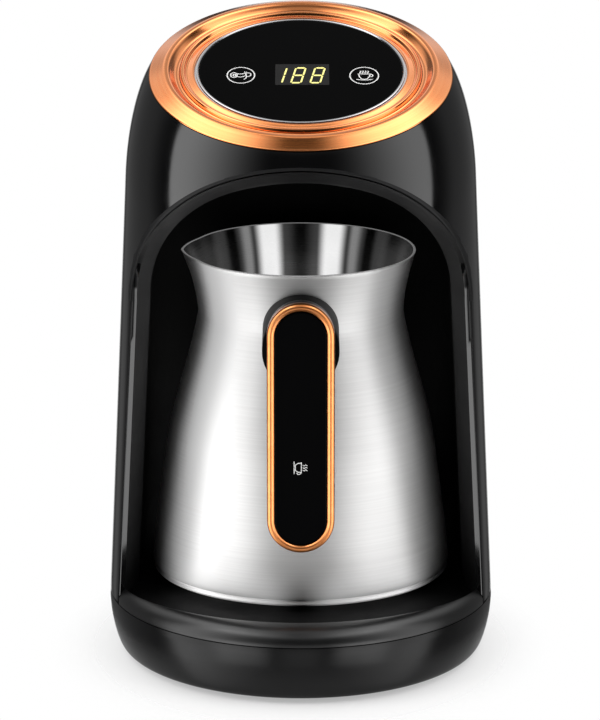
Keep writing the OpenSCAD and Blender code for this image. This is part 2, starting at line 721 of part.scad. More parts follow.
// Strip that lines the arch's edge, sloping from the outer surface in to the liner
module arch_bezel() {
    foot = shell_foot;
    outer = arch_line(0.15, foot);
    inner = arch_line(bezel_w, foot);
    function inner_y(p) = pot_y - sqrt(liner_front_r * liner_front_r - p[0] * p[0]);
    n = len(outer);
    rows = [for (k = [0 : n - 1])
        let (o = outer[k], i = inner[k], yo = front_y(o[0], o[1]) + 0.15, yi = inner_y(i))
        [[o[0], yo, o[1]], [i[0], yi, i[1]], [i[0], yi + bezel_t, i[1]], [o[0], yo + bezel_t, o[1]]]];
    color("#1c1c1e") polyhedron(
        points = [for (row = rows) for (p = row) p],
        faces = concat(
            [[0, 1, 2], [0, 2, 3]],
            [[(n - 1) * 4 + 2, (n - 1) * 4 + 1, (n - 1) * 4],
             [(n - 1) * 4 + 3, (n - 1) * 4 + 2, (n - 1) * 4]],
            [for (k = [0 : n - 2]) for (j = [0 : 3])
                let (a = k * 4 + j, b = k * 4 + (j + 1) % 4)
                each [[a, a + 4, b], [b, a + 4, b + 4]]]));
}

window_y = pot_y - 8;
window_d = 12;
board_y = pot_y + room_r(web_top) + liner_wall + 1.4;
board_spots = [for (side = [-1, 1]) each [[side * 19, 44], [side * 19, 104]]];
module alcove_liner() {
    color("#0c0c0d") difference() {
        union() {
            difference() {
                intersection() {
                    arch_solid(bezel_w - liner_wall, web_top, axis_y - body_front, pot_y + 80);
                    room(liner_wall, web_top, 90);
                    translate([0, pot_y + bezel_t, web_top]) union() {
                        cylinder(h = 200, r = liner_front_r);
                        translate([-80, 0, 0]) cube([160, 90, 200]);
                    }
                }
                intersection() {
                    arch_solid(bezel_w, web_top - over, axis_y - body_front - over, pot_y + 90);
                    room(0, web_top - over, 100);
                }
            }
            for (spot = board_spots) {
                back = pot_y + sqrt(pow(room_r(spot[1]) + liner_wall - 0.6, 2) - spot[0] * spot[0]) - 0.5;
                translate([spot[0], board_y, spot[1]]) rotate([90, 0, 0])
                    cylinder(h = board_y - back, d = 6, $fn = 32);
            }
        }
        translate([0, window_y, crown_h - 20]) cylinder(h = 30, d = window_d + 2 * fit_gap);
        for (spot = board_spots) translate([spot[0], board_y + over, spot[1]]) rotate([90, 0, 0])
            cylinder(h = 4 + over, d = 2, $fn = 24);
    }
}

module sensor_window() {
    roof = crown_h - bezel_w;
    color("#3b3b44") translate([0, window_y, roof - 1]) {
        cylinder(h = 5.5, d = window_d);
        translate([0, 0, liner_wall + 1]) cylinder(h = 2, d = window_d + 4);
    }
}

module foam_sensor() {
    roof = crown_h - bezel_w + liner_wall + 2.6;
    color("#2c6b45") translate([-9, window_y - 7, roof]) cube([18, 14, 1.6]);
    color("#222226") translate([-4, window_y - 3, roof + 1.6]) cube([8, 6, 5]);
}

// ---------------------------------------------------------------- power electronics

board_t = 1.6;
board_w = 48;
board_foot = 36;
board_len = 78;
module power_board() {
    color("#2c6b45") difference() {
        translate([-board_w / 2, board_y, board_foot]) cube([board_w, board_t, board_len]);
        for (spot = board_spots) translate([spot[0], board_y + board_t + over, spot[1]])
            rotate([90, 0, 0]) cylinder(h = board_t + 2 * over, d = 2.6, $fn = 24);
    }
}

module on_board(x, z, w, t, h) {
    translate([x - w / 2, board_y + board_t, z - h / 2]) cube([w, t, h]);
}

module relay() {
    color("#1f4f8a") on_board(-4, 66, 15, 9, 19);
}

module filter_capacitor() {
    color("#c9a02a") on_board(0, 92, 18, 6, 11);
}

module terminal_block() {
    color("#3f7d4b") difference() {
        on_board(0, 45, 20, 9, 9);
        for (k = [-1 : 1]) translate([k * 6.2, board_y + board_t + 5, 38]) cylinder(h = 9, d = 3.4, $fn = 24);
    }
}

module board_screws() {
    color("#8d9095") for (spot = board_spots) translate([spot[0], board_y + board_t, spot[1]])
        rotate([-90, 0, 0]) screw(board_screw_d, board_screw_len, board_screw_head_d, board_screw_head_h);
}

// Mains leads from the gland up through the web to the terminal block
module inner_leads() {
    lead_y = board_y + board_t + lead_gap;
    start_y = gland_face_y - gland_len - 1.2;
    color("#7a4a2a") for (side = [-1, 1]) lead([
        [side * 1.5, start_y, gland_z],
        [side * 1.7, start_y - 1.4, gland_z + 0.4],
        [side * 2.4, lead_slot_y - 0.6, gland_z + 4],
        [side * 4, lead_slot_y, web_top],
        [side * 6, lead_y, seam_h + 12],
        [side * 6.2, lead_y, 40]], 2.2);
}

// ---------------------------------------------------------------- touch panel

tray_seat = -4.5;
tray_flange_t = 2;
tray_r = ring_r - 2.6;
tray_spot_r = ring_r - 7.15;
board_r = lens_r - 3.2;
board_h = -9;
module panel_tray() {
    wall = 1.5;
    cup_r = lens_r - 2.4;
    top = lens_h - lens_t;
    color("#202022") at_ring() difference() {
        union() {
            translate([0, 0, tray_seat]) cylinder(h = tray_flange_t, r = tray_r);
            translate([0, 0, tray_seat]) cylinder(h = top - tray_seat, r = lens_r);
            translate([0, 0, -tray_depth]) cylinder(h = tray_depth + tray_seat + 0.1, r = cup_r + wall);
        }
        translate([0, 0, -tray_depth + wall]) cylinder(h = 30, r = cup_r - 2);
        translate([0, 0, board_h]) cylinder(h = 30, r = cup_r);
        for (k = [0 : 2]) rotate([0, 0, 120 * k + 90]) translate([tray_spot_r, 0, tray_seat - over])
            cylinder(h = 5, d = screw_d + 0.4, $fn = 32);
        translate([-8, 6, -tray_depth - over]) cube([16, 8, 5]);
    }
}

module tray_screws() {
    color("#8d9095") at_ring() for (k = [0 : 2]) rotate([0, 0, 120 * k + 90])
        translate([tray_spot_r, 0, tray_seat + tray_flange_t])
            screw(screw_d - 0.4, tray_screw_len, small_head_d, tray_screw_h);
}

module control_board() {
    color("#1d5c3a") at_ring() translate([0, 0, board_h]) cylinder(h = board_t, r = board_r);
}

display_w = 19;
display_len = 14.8;
display_y = -1.6;
module display_module() {
    top = lens_h - lens_t - 0.1;
    color("#3a3a3c") at_ring() translate([-display_w / 2, display_y - display_len / 2, board_h + board_t])
        cube([display_w, display_len, top - board_h - board_t]);
}

key_x = 21.9;
key_y = -2.3;
module touch_springs() {
    foot = board_h + board_t;
    top = lens_h - lens_t - 0.1;
    color("#c3c5c8") at_ring() for (side = [-1, 1]) translate([side * key_x, key_y, foot]) difference() {
        cylinder(h = top - foot, d = 8, $fn = 48);
        translate([0, 0, -over]) cylinder(h = top - foot + 2 * over, d = 6.4, $fn = 48);
    }
}

module buzzer() {
    color("#111112") at_ring() translate([0, 20, board_h + board_t]) cylinder(h = 5, d = 9, $fn = 48);
}

module panel_lens() {
    color("#050506") at_ring() translate([0, 0, lens_h - lens_t]) cylinder(h = lens_t, r = lens_r - 0.05);
}

ring_foot = tray_seat + tray_flange_t;
module lens_bezel() {
    top = lens_h + 0.25;
    color("#a9aaad") at_ring() rotate_extrude()
        polygon([[lens_r + 0.05, ring_foot], [ring_in_r - 0.05, ring_foot], [ring_in_r - 0.05, top - 0.2],
                 [ring_in_r - 0.5, top], [lens_r + 0.5, top], [lens_r + 0.05, top - 0.3]]);
}

module ring_inner() {
    out = ring_split_r - 0.1;
    color("#d9803a") at_ring() rotate_extrude()
        polygon([[ring_in_r, ring_foot], [ring_in_r, lens_h + 0.1], [ring_in_r + 0.7, lens_h + 0.05],
                 [out - 2.9, lens_h - 0.5], [out - 2.2, lens_h - 0.45], [out - 1.8, lens_h + 0.3],
                 [out - 1.2, lens_h + 0.55], [out - 0.6, lens_h + 0.35], [out, lens_h - 0.8],
                 [out, ring_foot]]);
}

module ring_outer() {
    lip = 0.05;
    color("#d9803a") at_ring() rotate_extrude()
        polygon([[ring_split_r, ring_foot], [ring_split_r, 1.1], [ring_split_r + 1, 1],
                 [ring_split_r + 2.1, 1.4], [crest_r - 1.2, crest_h - 0.2], [crest_r, crest_h],
                 [ring_r, 0.6], [ring_r, 0.35], [ring_r - 2, lip], [tray_r, lip],
                 [tray_r, ring_foot], [tray_r - 1.2, ring_foot], [tray_r - 1.2, -0.6],
                 [ring_split_r + 1.2, -0.6], [ring_split_r + 1.2, ring_foot]]);
}

// ---------------------------------------------------------------- pot

disc_gap = 0.35;
pot_edge = 0.6;           // how far the pot's lower edge draws in
disc_edge = 0.5;          // how far the disc stays behind the pot's widest line
pot_tall = neck_h - body_foot;
// outer radius of the pot and its height, from the base up to the rim
pot_profile = concat(
    [[pot_r - pot_edge, body_foot + disc_gap], [pot_r, belly_h]],
    [for (t = [0.12, 0.2, 0.3, 0.4, 0.5, 0.6, 0.7, 0.8, 0.9, 1])
        [pot_r - (pot_r - neck_r) * pot_taper(t), body_foot + pot_tall * t]],
    [for (t = [0.2, 0.42, 0.64, 0.84, 1]) [neck_r + (rim_r - neck_r) * pow(t, 1.7),
        neck_h + (rim_h - neck_h) * t]]);
// share of the way from the widest radius to the neck: slow, then steep, then slow again
function pot_taper(t) = 0.75 * pow(t, 1.15) + 0.25 * ease((t - 0.5) / 0.5);

// the rim's V-shaped spout points to -X and fades out down to the neck
function spout(a, z) =
    let (off = abs(((a % 360) + 360) % 360 - 180), up = max((z - neck_h) / (rim_h - neck_h), 0))
    spout_out * pow(up, 1.5) * (pow(max(1 - off / 24, 0), 1.3) - 0.25 * exp(-pow((off - 26) / 9, 2)));

module pot_vessel() {
    sides = 72;
    function loop(r, z) = [for (j = [0 : sides - 1]) let (a = j * 360 / sides, q = r + spout(a, z))
        [q * cos(a), pot_y + q * sin(a), z]];
    n = len(pot_profile);
    floor_z = body_foot + disc_gap + pot_wall;
    color("#c4c6c8") union() {
        ring_of_rows(concat(
            [for (p = pot_profile) loop(p[0], p[1])],
            [for (k = [n - 1 : -1 : 1]) loop(pot_profile[k][0] - pot_wall, pot_profile[k][1])],
            [loop(pot_r - 3, floor_z), loop(pot_r - 4, body_foot + disc_gap)]));
        translate([0, pot_y, body_foot]) cylinder(h = disc_gap + pot_wall, r = pot_r - 3.2);
    }
}

module pot_base_disc() {
    r = pot_r - disc_edge;
    color("#d2d4d6") translate([0, pot_y, 0]) difference() {
        rotate_extrude() polygon([[0, plate_h], [r - 1.4, plate_h], [r - 0.35, plate_h + 0.35],
            [r, plate_h + 0.8], [r - 0.35, body_foot - 0.25], [r - 0.6, body_foot], [0, body_foot]]);
        translate([0, 0, plate_h - over]) cylinder(h = over + plunger_rise + 0.3, d = plunger_d + 9);
    }
}

// outline of a capsule standing in XZ, from height top down by len
module capsule(w, top, len) {
    translate([0, top - w / 2]) circle(d = w);
    translate([0, top - len + w / 2]) circle(d = w);
    translate([-w / 2, top - len + w / 2]) square([w, len - w]);
}
// extrudes a capsule along Y between y0 and y1
module capsule_bar(w, top, len, y0, y1) {
    translate([0, y1, 0]) rotate([90, 0, 0]) linear_extrude(y1 - y0) capsule(w, top, len);
}

face_y = pot_y - pot_r - finger_gap - handle_t;
back_y = face_y + handle_t;
collar_foot = collar_top - collar_len;
// steel pad welded round the front of the neck, with a tongue that carries the collar
module handle_bracket() {
    turn = 17;
    low = collar_foot + 2;
    high = neck_h + 8;
    function neck_at(z) = lookup(z, [for (p = pot_profile) [p[1], p[0]]]);
    rows = [for (k = [0 : 6]) low + (high - low) * k / 6];
    color("#b6b8bb") union() {
        translate([0, pot_y, 0]) rotate([0, 0, -90 - turn]) rotate_extrude(angle = 2 * turn)
            polygon(concat([for (z = rows) [neck_at(z) + 0.03, z]],
                           [for (k = [6 : -1 : 0]) [neck_at(rows[k]) + bracket_t, rows[k]]]));
        translate([-4, back_y + 8, neck_h - 5]) cube([8, pot_y - neck_r - bracket_t * 0.6 - back_y - 8, 8]);
    }
}

module handle_collar() {
    function neck_at(z) = lookup(z, [for (p = pot_profile) [p[1], p[0]]]);
    rows = [for (k = [0 : 8]) collar_foot - 2 + (rim_h - collar_foot + 2) * k / 8];
    color("#2c2c2f") difference() {
        capsule_bar(collar_w, collar_top, collar_len, back_y, pot_y - neck_r + 6);
        translate([0, pot_y, 0]) rotate_extrude() polygon(concat(
            [[0, rows[0]]], [for (z = rows) [neck_at(z) + bracket_t + 0.1, z]], [[0, rows[8]]]));
        translate([-4 - fit_gap, back_y + 8 - fit_gap, neck_h - 5 - fit_gap])
            cube([8 + 2 * fit_gap, 60, 8 + 2 * fit_gap]);
        for (z = handle_screw_z) translate([0, back_y - over, z]) rotate([-90, 0, 0])
            cylinder(h = 7 + over, d = screw_d - 0.3, $fn = 32);
    }
}
handle_screw_z = [collar_top - 7, collar_foot + 6];

module handle_grip() {
    color("#121213") difference() {
        union() {
            capsule_bar(handle_w - 0.6, handle_top - 0.3, handle_len - 0.6, face_y + band_t, back_y - 2);
            capsule_bar(handle_w - 3, handle_top - 1.5, handle_len - 3, back_y - 2.1, back_y);
            capsule_bar(handle_w - 2 * band_w - 0.2, handle_top - band_w - 0.1, handle_len - 2 * band_w - 0.2,
                        face_y + 2.6, face_y + band_t + 0.1);
        }
        for (z = handle_screw_z) translate([0, face_y, z]) rotate([-90, 0, 0]) {
            cylinder(h = handle_t + over, d = screw_d + 0.4, $fn = 32);
            cylinder(h = handle_t - 3, d = screw_head_d + 0.4, $fn = 32);
        }
    }
}

module handle_inlay() {
    color("#060607") capsule_bar(handle_w - 2 * band_w - 0.3, handle_top - band_w - 0.15,
        handle_len - 2 * band_w - 0.3, face_y + 0.8, face_y + 2.6);
}

module handle_band() {
    color("#d9803a") difference() {
        union() {
            capsule_bar(handle_w, handle_top, handle_len, face_y + 1, face_y + band_t);
            capsule_bar(handle_w - 1.6, handle_top - 0.8, handle_len - 1.6, face_y, face_y + 1.1);
        }
        capsule_bar(handle_w - 2 * band_w, handle_top - band_w, handle_len - 2 * band_w,
                    face_y - over, face_y + band_t + over);
    }
}

module handle_screws() {
    color("#8d9095") for (z = handle_screw_z) translate([0, back_y - 3, z]) rotate([90, 0, 0])
        screw(screw_d - 0.4, handle_screw_len, screw_head_d, screw_head_h);
}

base_pan();
bottom_cover();
rubber_feet();
base_screws();
base_deck();
cord_gland();
heating_plate();
heating_element();
plate_seal();
plate_clamp();
clamp_screws();
sensor_guide();
sensor_plunger();
sensor_spring();
thermostat();
thermal_fuse();
main_shell();
rear_cover();
shell_screws();
arch_bezel();
alcove_liner();
sensor_window();
foam_sensor();
power_board();
relay();
filter_capacitor();
terminal_block();
board_screws();
inner_leads();
panel_tray();
tray_screws();
control_board();
display_module();
touch_springs();
buzzer();
panel_lens();
lens_bezel();
ring_inner();
ring_outer();
pot_vessel();
pot_base_disc();
handle_bracket();
handle_collar();
handle_grip();
handle_inlay();
handle_band();
handle_screws();
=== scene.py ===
"""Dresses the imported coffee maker: a black body with an arched alcove, a steel pot on a heating
plate and a tilted touch panel in a copper-coloured ring.

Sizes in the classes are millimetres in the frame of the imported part; pieces leave in metres.
"""

import logging
import math
from dataclasses import dataclass, field
from enum import Enum
from typing import Any, Callable, Sequence

import bmesh
import bpy
import numpy as np
from mathutils import Matrix, Vector


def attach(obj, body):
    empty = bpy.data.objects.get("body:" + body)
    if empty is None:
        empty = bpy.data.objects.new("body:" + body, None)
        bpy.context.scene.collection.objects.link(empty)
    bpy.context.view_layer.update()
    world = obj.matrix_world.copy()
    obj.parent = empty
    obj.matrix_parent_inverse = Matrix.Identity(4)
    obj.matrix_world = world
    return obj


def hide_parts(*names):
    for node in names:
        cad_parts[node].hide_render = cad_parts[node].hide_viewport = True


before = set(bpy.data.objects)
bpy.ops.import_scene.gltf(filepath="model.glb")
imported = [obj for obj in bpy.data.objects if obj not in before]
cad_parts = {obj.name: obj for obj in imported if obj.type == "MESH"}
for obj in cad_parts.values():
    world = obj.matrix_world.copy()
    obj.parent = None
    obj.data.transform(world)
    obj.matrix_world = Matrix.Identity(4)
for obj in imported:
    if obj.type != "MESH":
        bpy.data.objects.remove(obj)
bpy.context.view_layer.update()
MM = 0.001
WELD = 2e-4 * MM
LOG = logging.getLogger("coffee_maker")
Number = float | int
Colour = tuple[float, float, float]
Limits = tuple[float, float]
Array = np.ndarray
DARK = (0.0, 0.0, 0.0)
BRIGHT = (1.0, 1.0, 1.0)


# -------------------- shader boards


class Wire:
    """An output socket that can be reckoned with, so that shader maths reads as an expression."""

    def __init__(self, board: "Board", socket: bpy.types.NodeSocket) -> None:
        """Keeps the socket and the board it is on.

        Args:
            board: The board that new nodes go on.
            socket: The output socket.
        """
        self.board = board
        self.socket = socket

    def __add__(self, other: "Wire | Number") -> "Wire":
        """self + other"""
        return self.board.reckon("ADD", self, other)

    def __radd__(self, other: Number) -> "Wire":
        """other + self"""
        return self.board.reckon("ADD", other, self)

    def __sub__(self, other: "Wire | Number") -> "Wire":
        """self - other"""
        return self.board.reckon("SUBTRACT", self, other)

    def __rsub__(self, other: Number) -> "Wire":
        """other - self"""
        return self.board.reckon("SUBTRACT", other, self)

    def __mul__(self, other: "Wire | Number") -> "Wire":
        """self * other"""
        return self.board.reckon("MULTIPLY", self, other)

    def __rmul__(self, other: Number) -> "Wire":
        """other * self"""
        return self.board.reckon("MULTIPLY", other, self)

    def __truediv__(self, other: "Wire | Number") -> "Wire":
        """self / other"""
        return self.board.reckon("DIVIDE", self, other)

    def __pow__(self, other: Number) -> "Wire":
        """self ** other"""
        return self.board.reckon("POWER", self, other)

    def __abs__(self) -> "Wire":
        """abs(self)"""
        return self.board.reckon("ABSOLUTE", self)

    def smooth(self, low: Number, high: Number) -> "Wire":
        """Goes from 0 at low to 1 at high with flat ends.

        Args:
            low: Value that gives 0.
            high: Value that gives 1, which may be the smaller one.

        Returns:
            The eased value.
        """
        return self.board.node(
            "ShaderNodeMapRange", {"interpolation_type": "SMOOTHSTEP"},
            {0: self, 1: float(low), 2: float(high), 3: 0.0, 4: 1.0})

    def between(self, rise: Limits, fall: Limits) -> "Wire":
        """Is 1 between two soft limits and 0 outside them.

        Args:
            rise: Values that give 0 and 1 on the way in.
            fall: Values that give 1 and 0 on the way out.

        Returns:
            The band.
        """
        return self.smooth(*rise) * (1 - self.smooth(*fall))

    def ramp(self, low: Number, high: Number, start: Number, end: Number) -> "Wire":
        """Maps low..high to start..end in a straight line, and stops at both.

        Args:
            low: Value that gives start.
            high: Value that gives end.
            start: First result.
            end: Last result.

        Returns:
            The mapped value.
        """
        return self.board.node(
            "ShaderNodeMapRange", {"clamp": True},
            {0: self, 1: float(low), 2: float(high), 3: float(start), 4: float(end)})


class Board:
    """The node tree of one material or of the world."""

    def __init__(self, tree: bpy.types.NodeTree) -> None:
        """Empties the tree.

        Args:
            tree: The tree to build on.
        """
        self.tree = tree
        tree.nodes.clear()

    def node(self, kind: str, settings: dict[str, Any] | None = None,
             inputs: dict[str | int, Any] | None = None, output: str | int = 0) -> Wire:
        """Adds any node.

        Args:
            kind: Blender's type name of the node.
            settings: Attributes, such as a Math node's operation, which are set first.
            inputs: Socket name or number to a value or a Wire.
            output: Name or number of the output that is handed back.

        Returns:
            The chosen output.
        """
        made = self.tree.nodes.new(kind)
        for name, value in (settings or {}).items():
            setattr(made, name, value)
        for key, value in (inputs or {}).items():
            if isinstance(value, Wire):
                self.tree.links.new(value.socket, made.inputs[key])
            else:
                made.inputs[key].default_value = value
        return Wire(self, made.outputs[output]) if len(made.outputs) else Wire(self, None)

    def reckon(self, operation: str, *values: "Wire | Number") -> Wire:
        """Adds one Math node.

        Args:
            operation: Blender's name of the operation.
            values: Wire or number for each of its inputs.

        Returns:
            The result.
        """
        return self.node("ShaderNodeMath", {"operation": operation}, dict(enumerate(values)))

    def mixed(self, share: "Wire | Number", first: "Wire | Colour", second: "Wire | Colour") -> Wire:
        """Mixes two colours.

        Args:
            share: 0 for the first colour, 1 for the second.
            first: Colour or Wire.
            second: Colour or Wire.

        Returns:
            The mixed colour.
        """
        a, b = (c if isinstance(c, Wire) else (*c, 1.0) for c in (first, second))
        return self.node("ShaderNodeMix", {"data_type": "RGBA"}, {0: share, 6: a, 7: b}, 2)

    def place(self) -> Wire:
        """The point in the frame of the part, in metres."""
        return self.node("ShaderNodeTexCoord", output="Object")

    def apart(self, vector: Wire) -> tuple[Wire, Wire, Wire]:
        """Takes a vector apart.

        Args:
            vector: The vector.

        Returns:
            Its x, y and z.
        """
        x = self.node("ShaderNodeSeparateXYZ", inputs={0: vector})
        outputs = x.socket.node.outputs
        return x, Wire(self, outputs[1]), Wire(self, outputs[2])

    def together(self, x: "Wire | Number", y: "Wire | Number", z: "Wire | Number") -> Wire:
        """Puts a vector together from x, y and z."""
        return self.node("ShaderNodeCombineXYZ", inputs={0: x, 1: y, 2: z})

    def noise(self, where: Wire, scale: float, detail: float = 3.0, rough: float = 0.5) -> Wire:
        """Soft noise from 0 to 1.

        Args:
            where: The point.
            scale: Lumps per unit of the point.
            detail: Octaves.
            rough: Weight of the finer octaves.

        Returns:
            The noise.
        """
        return self.node("ShaderNodeTexNoise",
                         inputs={"Vector": where, "Scale": scale, "Detail": detail, "Roughness": rough})

    def bump(self, height: Wire, strength: float, depth: float) -> Wire:
        """Turns a height into a bent normal.

        Args:
            height: The height, about 0 to 1.
            strength: Share of the effect.
            depth: Height of 1, in metres.

        Returns:
            The normal.
        """
        return self.node("ShaderNodeBump", inputs={"Strength": strength, "Distance": depth, "Height": height})


# -------------------- finishes


class Lay(Enum):
    """The way in which a metal is brushed."""

    POT = "round the pot's axis"
    RING = "round the top ring's axis"
    EVEN = "no direction, as cast or plated"


def about_pot(board: Board) -> tuple[Wire, Wire]:
    """Where a place is as seen from the pot's axis.

    Args:
        board: The board to build on.

    Returns:
        The sine of its azimuth, from -1 at the left to 1 at the right, and its height in metres.
    """
    x, y, z = board.apart(board.place())
    y = y - POT.axis_y * MM
    return x / (x * x + y * y) ** 0.5, z


@dataclass(frozen=True)
class Finish:
    """What every finish has: a name and a way to be built once."""

    name: str

    def shade(self, board: Board) -> Wire:
        """Builds the shader.

        Args:
            board: The board to build on.

        Returns:
            The shader.
        """
        raise NotImplementedError

    def material(self) -> bpy.types.Material:
        """The finish as a material, made on first use.

        Returns:
            The material.
        """
        title = f"{self.name}_finish"
        found = bpy.data.materials.get(title)
        if found is not None:
            return found
        made = bpy.data.materials.new(title)
        made.use_nodes = True
        board = Board(made.node_tree)
        board.node("ShaderNodeOutputMaterial", inputs={"Surface": self.shade(board)})
        return made


@dataclass(frozen=True)
class Moulded(Finish):
    """Moulded plastic, rubber or paint: a fine grain, soft tone variation and a few dull patches."""

    colour: Colour = (0.02, 0.02, 0.02)
    second: Colour = (0.03, 0.03, 0.03)
    roughness: float = 0.4
    unevenness: float = 0.05
    grain_mm: float = 0.6
    grain_depth_mm: float = 0.004
    specular: float = 0.5
    clear: float = 0.0

    def shade(self, board: Board) -> Wire:
        """Builds grain, tone and dullness.

        Args:
            board: The board to build on.

        Returns:
            The shader.
        """
        place = board.place()
        tone = board.noise(place, scale=38.0, detail=4.0, rough=0.55)
        grain = board.noise(place, scale=1.0 / (self.grain_mm * MM), detail=2.0, rough=0.6)
        dull = board.noise(place, scale=120.0, detail=5.0, rough=0.6)
        low, high = self.roughness - self.unevenness, self.roughness + self.unevenness
        inputs = {
            "Base Color": board.mixed(tone, self.colour, self.second),
            "Roughness": dull.ramp(0.3, 0.7, low, high),
            "Specular IOR Level": self.specular,
            "Normal": board.bump(grain, strength=0.6, depth=self.grain_depth_mm * MM),
        }
        if self.clear:
            inputs |= {"Alpha": 1.0 - self.clear}
        return board.node("ShaderNodeBsdfPrincipled", inputs=inputs)


@dataclass(frozen=True)
class Metal(Finish):
    """Metal with a brushed lay: fine lines that bend the light, and streaks of tone."""

    colour: Colour = (0.7, 0.7, 0.7)
    second: Colour = (0.6, 0.6, 0.6)
    roughness: float = 0.3
    unevenness: float = 0.06
    lay: Lay = Lay.EVEN
    line_mm: float = 0.12
    line_depth_mm: float = 0.002
    lacquer: float = 0.0
    metallic: float = 1.0

    def _where(self, board: Board) -> Wire:
        """The point in which the lines run straight.

        Args:
            board: The board to build on.

        Returns:
            A point in units of one line's width across the lines.
        """
        place = board.place()
        across = 1.0 / (self.line_mm * MM)
        if self.lay is Lay.EVEN:
            return board.node("ShaderNodeVectorMath", {"operation": "SCALE"}, {0: place, "Scale": across})
        round_pot = self.lay is Lay.POT
        middle_y = POT.axis_y if round_pot else TOP.centre[1]
        if not round_pot:
            place = board.node("ShaderNodeVectorRotate", {"rotation_type": "X_AXIS"},
                               {"Vector": place, "Center": tuple(TOP.centre * MM),
                                "Angle": -math.radians(TOP.form.ring_lean)})
        x, y, z = board.apart(place)
        y = y - middle_y * MM
        reach = (x * x + y * y) ** 0.5
        # the pot's lines follow each other upward and the ring's outward; lumps: those along one line
        main, other, share, lumps = (z, reach, 0.35, 1.3) if round_pot else (reach, z, 0.3, 1.6)
        return board.together(x / reach * lumps, y / reach * lumps, main * across + other * across * share)

    def tone(self, board: Board, colour: Wire) -> Wire:
        """The colour as it is; a finish with painted shade changes it."""
        return colour

    def shine(self, board: Board) -> Wire | None:
        """The light that the metal gives off: none; some finishes give off painted light here."""
        return None

    def shade(self, board: Board) -> Wire:
        """Builds lines, streaks and dullness.

        Args:
            board: The board to build on.

        Returns:
            The shader.
        """
        where = self._where(board)
        lines = board.noise(where, scale=1.0, detail=3.0, rough=0.65)
        streak = board.noise(where, scale=0.16, detail=3.0, rough=0.6)
        low, high = self.roughness - self.unevenness, self.roughness + self.unevenness
        # tone paints shade into the base colour for the pot's finishes
        inputs = {
            "Base Color": self.tone(board, board.mixed(streak.smooth(0.3, 0.72), self.second, self.colour)),
            "Metallic": self.metallic,
            "Roughness": lines.ramp(0.3, 0.7, low, high),
            "Normal": board.bump(lines, strength=1.0, depth=self.line_depth_mm * MM),
        }
        if self.lacquer:
            inputs |= {"Coat Weight": self.lacquer, "Coat Roughness": 0.08, "Coat IOR": 1.6}
        # painted light: the glow that some finishes give off in place of a highlight or reflection
        shine = self.shine(board)
        if shine is not None:
            inputs |= {"Emission Color": shine, "Emission Strength": 1.0}
        return board.node("ShaderNodeBsdfPrincipled", inputs=inputs)


@dataclass(frozen=True)
class PaintedRimGlow(Metal):
    """The pot's rolled rim, a little lighter than its surroundings all round through a painted glow."""

    # strength of the painted glow on the rim
    glow: float = 0.16

    def shine(self, board: Board) -> Wire:
        """An even painted glow with a fine unevenness."""
        uneven = board.noise(board.place(), scale=600.0, detail=2.0)
        return board.mixed(uneven, (self.glow,) * 3, (self.glow * 0.8,) * 3)


@dataclass(frozen=True)
class PaintedSheen(Metal):
    """The pot's brushed outside: painted shade in the middle, painted sheen at the sides, more at the left.
    """

    # middle keeps this share of the colour under painted shade; left, right and foot: strength of painted
    # glow
    middle: float = 0.66
    left: float = 0.34
    right: float = 0.13
    foot: float = 0.24

    def tone(self, board: Board, colour: Wire) -> Wire:
        """Paints shade in the middle.

        Args:
            board: The board to build on.
            colour: The brushed metal's colour.

        Returns:
            The colour with painted shade in the middle.
        """
        across, _ = about_pot(board)
        return board.mixed(abs(across).smooth(0.12, 0.5).ramp(0.0, 1.0, 1.0 - self.middle, 0.0), colour, DARK)

    def shine(self, board: Board) -> Wire:
        """The painted sheen of the two sides, which fades downward, and a painted glow at the foot.

        Args:
            board: The board to build on.

        Returns:
            The emitted colour: painted light.
        """
        across, z = about_pot(board)
        # painted sheen on the sides and painted glow at the foot, given off as light
        left = across.between((-0.96, -0.80), (-0.70, -0.46)) * self.left
        right = across.between((0.44, 0.62), (0.78, 0.96)) * self.right
        left_height = z.smooth(30 * MM, 110 * MM).ramp(0.0, 1.0, 0.5, 1.0)
        right_height = z.smooth(40 * MM, 100 * MM)
        foot = (1 - z.smooth(28 * MM, 42 * MM)) * abs(across).between((0.0, 0.25), (0.66, 0.9)) * self.foot
        return board.mixed(left * left_height + right * right_height + foot, DARK, BRIGHT)


@dataclass(frozen=True)
class PaintedReflections(Metal):
    """The pot's inside: painted highlight and painted shade in upright streaks, strongest up at the neck."""

    # dark: depth of the painted shade between streaks; glow: strength of the painted reflection
    dark: float = 0.12
    glow: float = 0.8

    @staticmethod
    def _painted_streaks(across: Wire) -> Wire:
        """How bright the painted streaks are, from 0 between them to 1 in the two broad ones.

        Args:
            across: The sine of the place's azimuth about the pot.

        Returns:
            The brightness.
        """
        off = abs(across)
        broad = off.between((0.15, 0.25), (0.35, 0.44))
        narrow = off.between((0.44, 0.49), (0.51, 0.58))
        faint = off.between((0.66, 0.72), (0.76, 0.84))
        return (off.smooth(0.02, 0.16) * 0.05 + broad * 0.95 + narrow * 0.2 - off.smooth(0.56, 0.62) * 0.05
                + faint * 0.04)

    def tone(self, board: Board, colour: Wire) -> Wire:
        """Paints shade between the streaks.

        Args:
            board: The board to build on.
            colour: The brushed metal's colour.

        Returns:
            The colour with painted shade between the streaks.
        """
        across, _ = about_pot(board)
        return board.mixed(self._painted_streaks(across).ramp(0.0, 1.0, 1.0 - self.dark, 0.0), colour, DARK)

    def shine(self, board: Board) -> Wire:
        """Painted reflection of the streaks, given off as light, fading down into the pot.

        Args:
            board: The board to build on.

        Returns:
            The emitted colour: painted reflection.
        """
        across, z = about_pot(board)
        # painted reflection, strongest at the neck
        share = self._painted_streaks(across) * z.smooth((POT.neck_h - 22) * MM, (POT.neck_h + 2) * MM)
        return board.mixed(share, DARK, (self.glow,) * 3)


